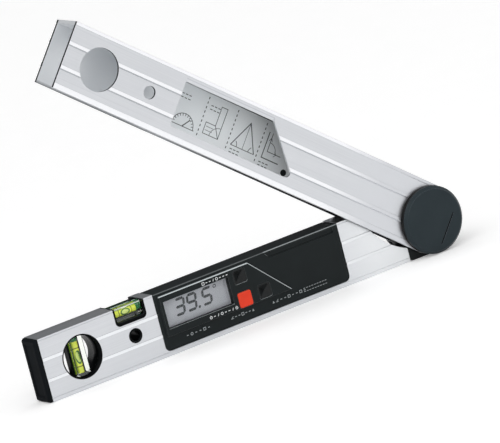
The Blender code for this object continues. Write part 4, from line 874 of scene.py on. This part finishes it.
def dyed_spirit(name, node, axis):
    """Dyed spirit: yellow-green with a painted glow, the paler bubble with a rim painted dark as shade, and
    the two marks.
    """
    finish, tree, shader = new_finish(
        name, IOR=1.36, Roughness=0.12, Transmission_Weight=0.15, Emission_Strength=0.24
    )
    low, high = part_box(node)
    place = add(tree, "ShaderNodeTexCoord")
    half = (high - low) / 2
    bubble_half = Vector((half.x * BUBBLE_WIDTH, half.y * BUBBLE_DEPTH, half.z * BUBBLE_WIDTH))
    bubble_half[axis] = half[axis] * BUBBLE_LENGTH
    scaled = add(
        tree,
        "ShaderNodeMapping",
        {"Location": (low + high) / 2, "Scale": bubble_half},
        {"Vector": place.outputs["Object"]},
        vector_type="TEXTURE",
    )
    distance = add(tree, "ShaderNodeVectorMath", links={0: scaled.outputs[0]}, operation="LENGTH")
    clouds = add(
        tree, "ShaderNodeTexNoise", {"Scale": 60.0, "Detail": 1.0}, {"Vector": place.outputs["Object"]}
    )
    tone = blend_colours(tree, clouds.outputs["Fac"], "#DCE63C", "#E9F060")
    # Painted shade: the bubble is painted dark and its core pale again, which leaves a dark rim where light
    # bends at its edge.
    inside = step_between(tree, distance.outputs["Value"], 1.04, 0.94)
    core = step_between(tree, distance.outputs["Value"], 0.78, 0.66)
    tone = blend_colours(tree, inside, tone, "#2F6B35")
    tone = blend_colours(tree, core, tone, "#DCE88A")
    parts = add(tree, "ShaderNodeSeparateXYZ", links={0: scaled.outputs[0]})
    from_middle = add(tree, "ShaderNodeMath", links={0: parts.outputs["XYZ"[axis]]}, operation="ABSOLUTE")
    mark = both(
        tree,
        step_between(tree, from_middle.outputs[0], 1.18, 1.22),
        step_between(tree, from_middle.outputs[0], 1.36, 1.32),
    )
    tone = blend_colours(tree, mark, tone, "#6E6A22")
    # Light that grazes the tube's wall bends away from the eye, so both sides of the tube look darker.
    facing = add(tree, "ShaderNodeSeparateXYZ", links={0: place.outputs["Normal"]})
    aside = add(tree, "ShaderNodeMath", links={0: facing.outputs["ZYX"[axis]]}, operation="ABSOLUTE")
    wall_shade = step_between(tree, aside.outputs[0], 0.55, 0.92)
    tone = blend_colours(tree, wall_shade, tone, "#3C6B1C")
    tree.links.new(tone, shader.inputs["Base Color"])
    # Painted glow: the spirit gives out its own colour as light, which makes it brighter, as its fluorescent
    # dye looks.
    tree.links.new(tone, shader.inputs["Emission Color"])
    return finish


dress(dyed_spirit("vial spirit, dyed yellow-green, plumb", "plumb_vial_fluid", 2), "plumb_vial_fluid")
dress(dyed_spirit("vial spirit, dyed yellow-green, level", "level_vial_fluid", 0), "level_vial_fluid")
green_abs = moulded_abs("green ABS, moulded", ("#1B7A45", "#249055"), 0.25, 0.6, 0.01, 0.3, "#5FB987")
dress(green_abs, "plumb_vial_plug", "level_vial_plug")
holder_abs = moulded_abs("black ABS, smooth, vial holders", ("#050607", "#090B0C"), 0.22, 0.5, 0.01, 0.04)
dress(holder_abs, "level_vial_holder", "hanging_bush")

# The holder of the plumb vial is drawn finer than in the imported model: a thin ring with two thin rails,
# so that the light behind the tool shows on both sides of the vial.
RING_WALL = 0.0009
RING_STEPS = 64
RAIL_WIDTH = 0.0018
RAIL_DEPTH = 0.0070
RAIL_GAP = 0.0001
RAIL_BITE = 0.0004
low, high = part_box("plumb_vial_holder")
middle = (low + high) / 2
ring_outer = (high.x - low.x) / 2
ring_inner = ring_outer - RING_WALL
vial_low, vial_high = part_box("plumb_vial")
builder = bmesh.new()
rings = [
    [builder.verts.new((x, depth, z)) for x, z in circle(middle.x, middle.z, radius, RING_STEPS)]
    for radius, depth in (
        (ring_outer, low.y),
        (ring_outer, high.y),
        (ring_inner, high.y),
        (ring_inner, low.y),
    )
]
for here, there in zip(rings, rings[1:] + rings[:1]):
    for i in range(RING_STEPS):
        builder.faces.new((here[i], here[i - 1], there[i - 1], there[i]))
for near, side in ((vial_low.x - RAIL_GAP, -1), (vial_high.x + RAIL_GAP, 1)):
    far = near + side * RAIL_WIDTH
    reach_up = math.sqrt((ring_inner + RAIL_BITE) ** 2 - (far - middle.x) ** 2)
    corners = [
        builder.verts.new((x, y, z))
        for x in sorted((near, far))
        for y in (-RAIL_DEPTH / 2, RAIL_DEPTH / 2)
        for z in (middle.z - reach_up, middle.z + reach_up)
    ]
    for face in ((0, 1, 3, 2), (4, 6, 7, 5), (0, 4, 5, 1), (2, 3, 7, 6), (0, 2, 6, 4), (1, 5, 7, 3)):
        builder.faces.new([corners[i] for i in face])
holder = printed_piece("plumb_vial_holder_fine", builder, holder_abs, "base")
for polygon in holder.data.polygons:
    polygon.use_smooth = polygon.index < len(rings) * RING_STEPS
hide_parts("plumb_vial_holder")


# Fold-out leg: U channel
# The same extruded and anodised aluminium as the lower leg, milled at the hinge end and windows.
# Its open side lets it fold down over the lower leg.

FOLDOUT_LEG_FACE = 0.0175
FOLDOUT_LEG_INNER = 0.015
foldout_metal = anodised_aluminium(
    "anodised aluminium, fold-out leg",
    opening,
    FOLDOUT_LEG_FACE,
    FOLDOUT_LEG_INNER,
    leg_low,
    -leg_low,
    rib_highlight_tone="#F4F5F8",
    groove_shading_tone="#BEC1C5",
    neck_tone="#D1D3D7",
)
dress(foldout_metal, "foldout_channel")


# Instruction label
# A printed polyester film, glued to the inner side of the back plate and seen through the window.
# It carries plain line drawings of angles, boards and a roof.

label_film, tree, shader = new_finish("polyester film, matt", IOR=1.5, Roughness=0.5)
place = add(tree, "ShaderNodeTexCoord")
fibre = add(tree, "ShaderNodeTexNoise", {"Scale": 900.0, "Detail": 2.0}, {"Vector": place.outputs["Object"]})
tree.links.new(blend_colours(tree, fibre.outputs["Fac"], "#E4E9EC", "#F0F4F6"), shader.inputs["Base Color"])
dress(label_film, "instruction_label")

LABEL_FACE = 0.0144
DRAWING_LINE = 0.0006
DRAWING_WIDTH = 0.0315
DRAWING_HEIGHT = 0.042
DRAWINGS_START = 0.2630
DRAWINGS_FOOT = -0.0165


def on_foldout_leg(reach, height, depth):
    """A point of the fold-out leg in the row frame, from its distance to the hinge."""
    return Vector((
        hinge.x - reach * math.cos(opening) + height * math.sin(opening),
        depth,
        hinge.z + reach * math.sin(opening) + height * math.cos(opening),
    ))


def label_ink(reach, height):
    """Front and back of the ink on the label."""
    return on_foldout_leg(reach, height, LABEL_FACE - FILM), on_foldout_leg(reach, height, LABEL_FACE)


def drawing_line(builder, number, shares, width=DRAWING_LINE, closed=False):
    """A line of one drawing, with its points as shares of the drawing's width and height."""
    points = [
        (DRAWINGS_START - (number + x) * DRAWING_WIDTH, DRAWINGS_FOOT + y * DRAWING_HEIGHT)
        for x, y in shares
    ]
    stroke(builder, points, width, label_ink, closed)


def arc_shares(x, y, radius, start, end, steps):
    """Points of an arc in shares of a drawing, from start to end degrees."""
    turns = [math.radians(start + (end - start) * i / steps) for i in range(steps + 1)]
    stretch = DRAWING_WIDTH / DRAWING_HEIGHT
    return [(x + radius * math.cos(t), y + radius * stretch * math.sin(t)) for t in turns]


builder = bmesh.new()
# A half-round scale with its needle
drawing_line(builder, 0, arc_shares(0.42, 0.15, 0.36, 0, 180, 20))
drawing_line(builder, 0, [(0.04, 0.15), (0.82, 0.15)])
for degrees in range(15, 180, 15):
    outer = arc_shares(0.42, 0.15, 0.36, degrees, degrees, 1)[0]
    inner = arc_shares(0.42, 0.15, 0.29, degrees, degrees, 1)[0]
    drawing_line(builder, 0, [inner, outer])
drawing_line(builder, 0, [(0.42, 0.15), arc_shares(0.42, 0.15, 0.31, 52, 52, 1)[0]], DRAWING_LINE * 1.6)
# Two boards that meet in a mitre
boards = [(0.10, 0.20), (0.62, 0.20), (0.62, 0.86), (0.42, 0.86), (0.42, 0.44), (0.10, 0.44)]
drawing_line(builder, 1, boards, closed=True)
drawing_line(builder, 1, [(0.62, 0.20), (0.42, 0.44)])
for share in (0.28, 0.36):
    drawing_line(builder, 1, [(0.14, share), (0.38, share)], DRAWING_LINE * 0.7)
drawing_line(builder, 1, arc_shares(0.62, 0.20, 0.30, 90, 180, 8), DRAWING_LINE * 0.8)
# A roof with its pitch
drawing_line(builder, 2, [(0.06, 0.22), (0.46, 0.80), (0.86, 0.22)], DRAWING_LINE * 1.4)
drawing_line(builder, 2, [(0.06, 0.22), (0.86, 0.22)])
drawing_line(builder, 2, [(0.46, 0.22), (0.46, 0.80)], DRAWING_LINE * 0.7)
drawing_line(builder, 2, arc_shares(0.06, 0.22, 0.20, 0, 48, 6))
drawing_line(builder, 2, arc_shares(0.86, 0.22, 0.20, 180, 132, 6))
# A corner seen from above, with two arrows
drawing_line(builder, 3, [(0.12, 0.80), (0.12, 0.24), (0.70, 0.24)], DRAWING_LINE * 1.4)
drawing_line(builder, 3, [(0.24, 0.80), (0.24, 0.40), (0.70, 0.40)])
drawing_line(builder, 3, arc_shares(0.24, 0.40, 0.26, 0, 90, 8), DRAWING_LINE * 0.8)
for arrow in ([(0.19, 0.62), (0.24, 0.70), (0.29, 0.62)], [(0.47, 0.46), (0.54, 0.40), (0.47, 0.34)]):
    drawing_line(builder, 3, arrow, DRAWING_LINE * 0.8)
# Dotted rules between the drawings
for number in (1, 2, 3):
    for dot in range(9):
        low_share = 0.10 + dot * 0.10
        drawing_line(builder, number, [(-0.05, low_share), (-0.05, low_share + 0.05)], DRAWING_LINE * 1.5)
# Short rules above each drawing, where the real label has its words
for number, shares in ((0, (0.80, 0.72)), (1, (0.80, 0.72)), (2, (0.14, 0.07)), (3, (0.14, 0.07))):
    for share in shares:
        for start in (0.08, 0.20, 0.32):
            drawing_line(builder, number, [(start, share), (start + 0.08, share)], DRAWING_LINE * 1.3)
drawing_ink = printing_ink("grey screen ink", "#33393B", "#40464A", 0.5)
printed_piece("label_drawings", builder, drawing_ink, "foldout")

SPOT_REACH = 0.1385
SPOT_HEIGHT = -0.0112
SPOT_RADIUS = 0.0030
builder = bmesh.new()
tile(builder, circle(SPOT_REACH, SPOT_HEIGHT, SPOT_RADIUS, 24), label_ink)
black_ink = printing_ink("black screen ink", "#14181A", "#1E2325", 0.45)
printed_piece("label_spot", builder, black_ink, "foldout")


# Hinge caps and knob
# Glass-filled nylon, moulded black, a little glossier than the ABS parts.
# The caps press onto the axle from both sides, and the knob screws onto the clamp stud.

hub_nylon = moulded_abs(
    "black nylon, glass-filled", ("#272F33", "#2F383C"), 0.36, 0.4, 0.02, 0.08, "#78828A"
)
tree = hub_nylon.node_tree
shader = tree.nodes["Principled BSDF"]
place = add(tree, "ShaderNodeTexCoord")
spot = add(tree, "ShaderNodeSeparateXYZ", links={0: place.outputs["Object"]})
facing = add(tree, "ShaderNodeSeparateXYZ", links={0: place.outputs["Normal"]})
from_axle = add(
    tree, "ShaderNodeVectorMath", {1: hinge}, {0: place.outputs["Object"]}, operation="SUBTRACT"
)
across = add(
    tree,
    "ShaderNodeVectorMath",
    {1: (1.0, 0.0, 1.0)},
    {0: from_axle.outputs[0]},
    operation="MULTIPLY",
)
radius = add(tree, "ShaderNodeVectorMath", links={0: across.outputs[0]}, operation="LENGTH")
hub_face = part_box("hub_cap")[0].y
# The cut line on the face and the side walls stay in shade, so they look black.
# Only what is sunk and nearer to the axis than this is the line; the chamfer begins farther out.
FACE_RADIUS = 0.0268
sunk = both(
    tree,
    step_between(tree, spot.outputs["Y"], hub_face + HAIR, hub_face + 2 * HAIR),
    step_between(tree, radius.outputs["Value"], FACE_RADIUS, FACE_RADIUS - 6 * HAIR),
)
side_wall = step_between(tree, facing.outputs["Y"], -0.55, -0.35)
dark = add(tree, "ShaderNodeMath", links={0: sunk, 1: side_wall}, operation="MAXIMUM")
tone = shader.inputs["Base Color"].links[0].from_socket
tree.links.new(blend_colours(tree, dark.outputs[0], tone, "#040506"), shader.inputs["Base Color"])
dress(hub_nylon, "hub_cap", "rear_hub", "lock_knob", "foldout_spacer")


# Floor and light
# A white painted table, one large soft light above and to the left, and even fill from all round.
# A darker wall stands far behind, as in a studio, so that faces that look up mirror grey.

floor_paint, tree, shader = new_finish("white table, painted", Roughness=0.7)
place = add(tree, "ShaderNodeTexCoord")
mottle = add(tree, "ShaderNodeTexNoise", {"Scale": 30.0}, {"Vector": place.outputs["Object"]})
tree.links.new(blend_colours(tree, mottle.outputs["Fac"], "#FAFAFA", "#FFFFFF"), shader.inputs["Base Color"])
path = add(tree, "ShaderNodeLightPath")
seen = add(
    tree,
    "ShaderNodeMath",
    links={0: path.outputs["Is Camera Ray"], 1: path.outputs["Is Glossy Ray"]},
    operation="MAXIMUM",
)
seen = add(
    tree,
    "ShaderNodeMath",
    links={0: seen.outputs[0], 1: path.outputs["Is Transmission Ray"]},
    operation="MAXIMUM",
)
lift = add(tree, "ShaderNodeMath", {1: 0.20}, {0: seen.outputs[0]}, operation="MULTIPLY")
shader.inputs["Emission Color"].default_value = linear("#FFFFFF")
tree.links.new(lift.outputs[0], shader.inputs["Emission Strength"])
floor_mesh = bpy.data.meshes.new("floor")
reach = 6.0
corners = [(-reach, -reach, 0), (reach, -reach, 0), (reach, reach, 0), (-reach, reach, 0)]
floor_mesh.from_pydata(corners, [], [(0, 1, 2, 3)])
floor = bpy.data.objects.new("floor", floor_mesh)
floor.location.z = cad_box[0][2] - 2 * HAIR
floor_mesh.materials.append(floor_paint)
bpy.context.scene.collection.objects.link(floor)

world = bpy.data.worlds.new("studio")
bpy.context.scene.world = world
world.use_nodes = True
sky = world.node_tree
background = sky.nodes["Background"]
direction = add(sky, "ShaderNodeTexCoord")
parts = add(sky, "ShaderNodeSeparateXYZ", links={0: direction.outputs["Generated"]})
wall = both(
    sky,
    both(
        sky,
        step_between(sky, parts.outputs["Y"], 0.30, 0.65),
        step_between(sky, parts.outputs["Z"], 0.02, 0.08),
    ),
    step_between(sky, parts.outputs["Z"], 0.80, 0.55),
)
sky.links.new(blend_colours(sky, wall, "#FFFFFF", "#4A4C4E"), background.inputs["Color"])
background.inputs["Strength"].default_value = 0.92

key_data = bpy.data.lights.new("key", "AREA")
key_data.shape = "RECTANGLE"
key_data.size = 1.6
key_data.size_y = 1.2
key_data.energy = 9.0
key = bpy.data.objects.new("key", key_data)
key.location = (-1.1, -1.2, 1.6)
key.rotation_euler = (Vector((0.0, 0.0, 0.12)) - key.location).to_track_quat("-Z", "Y").to_euler()
bpy.context.scene.collection.objects.link(key)

bpy.context.scene.view_settings.view_transform = "Standard"
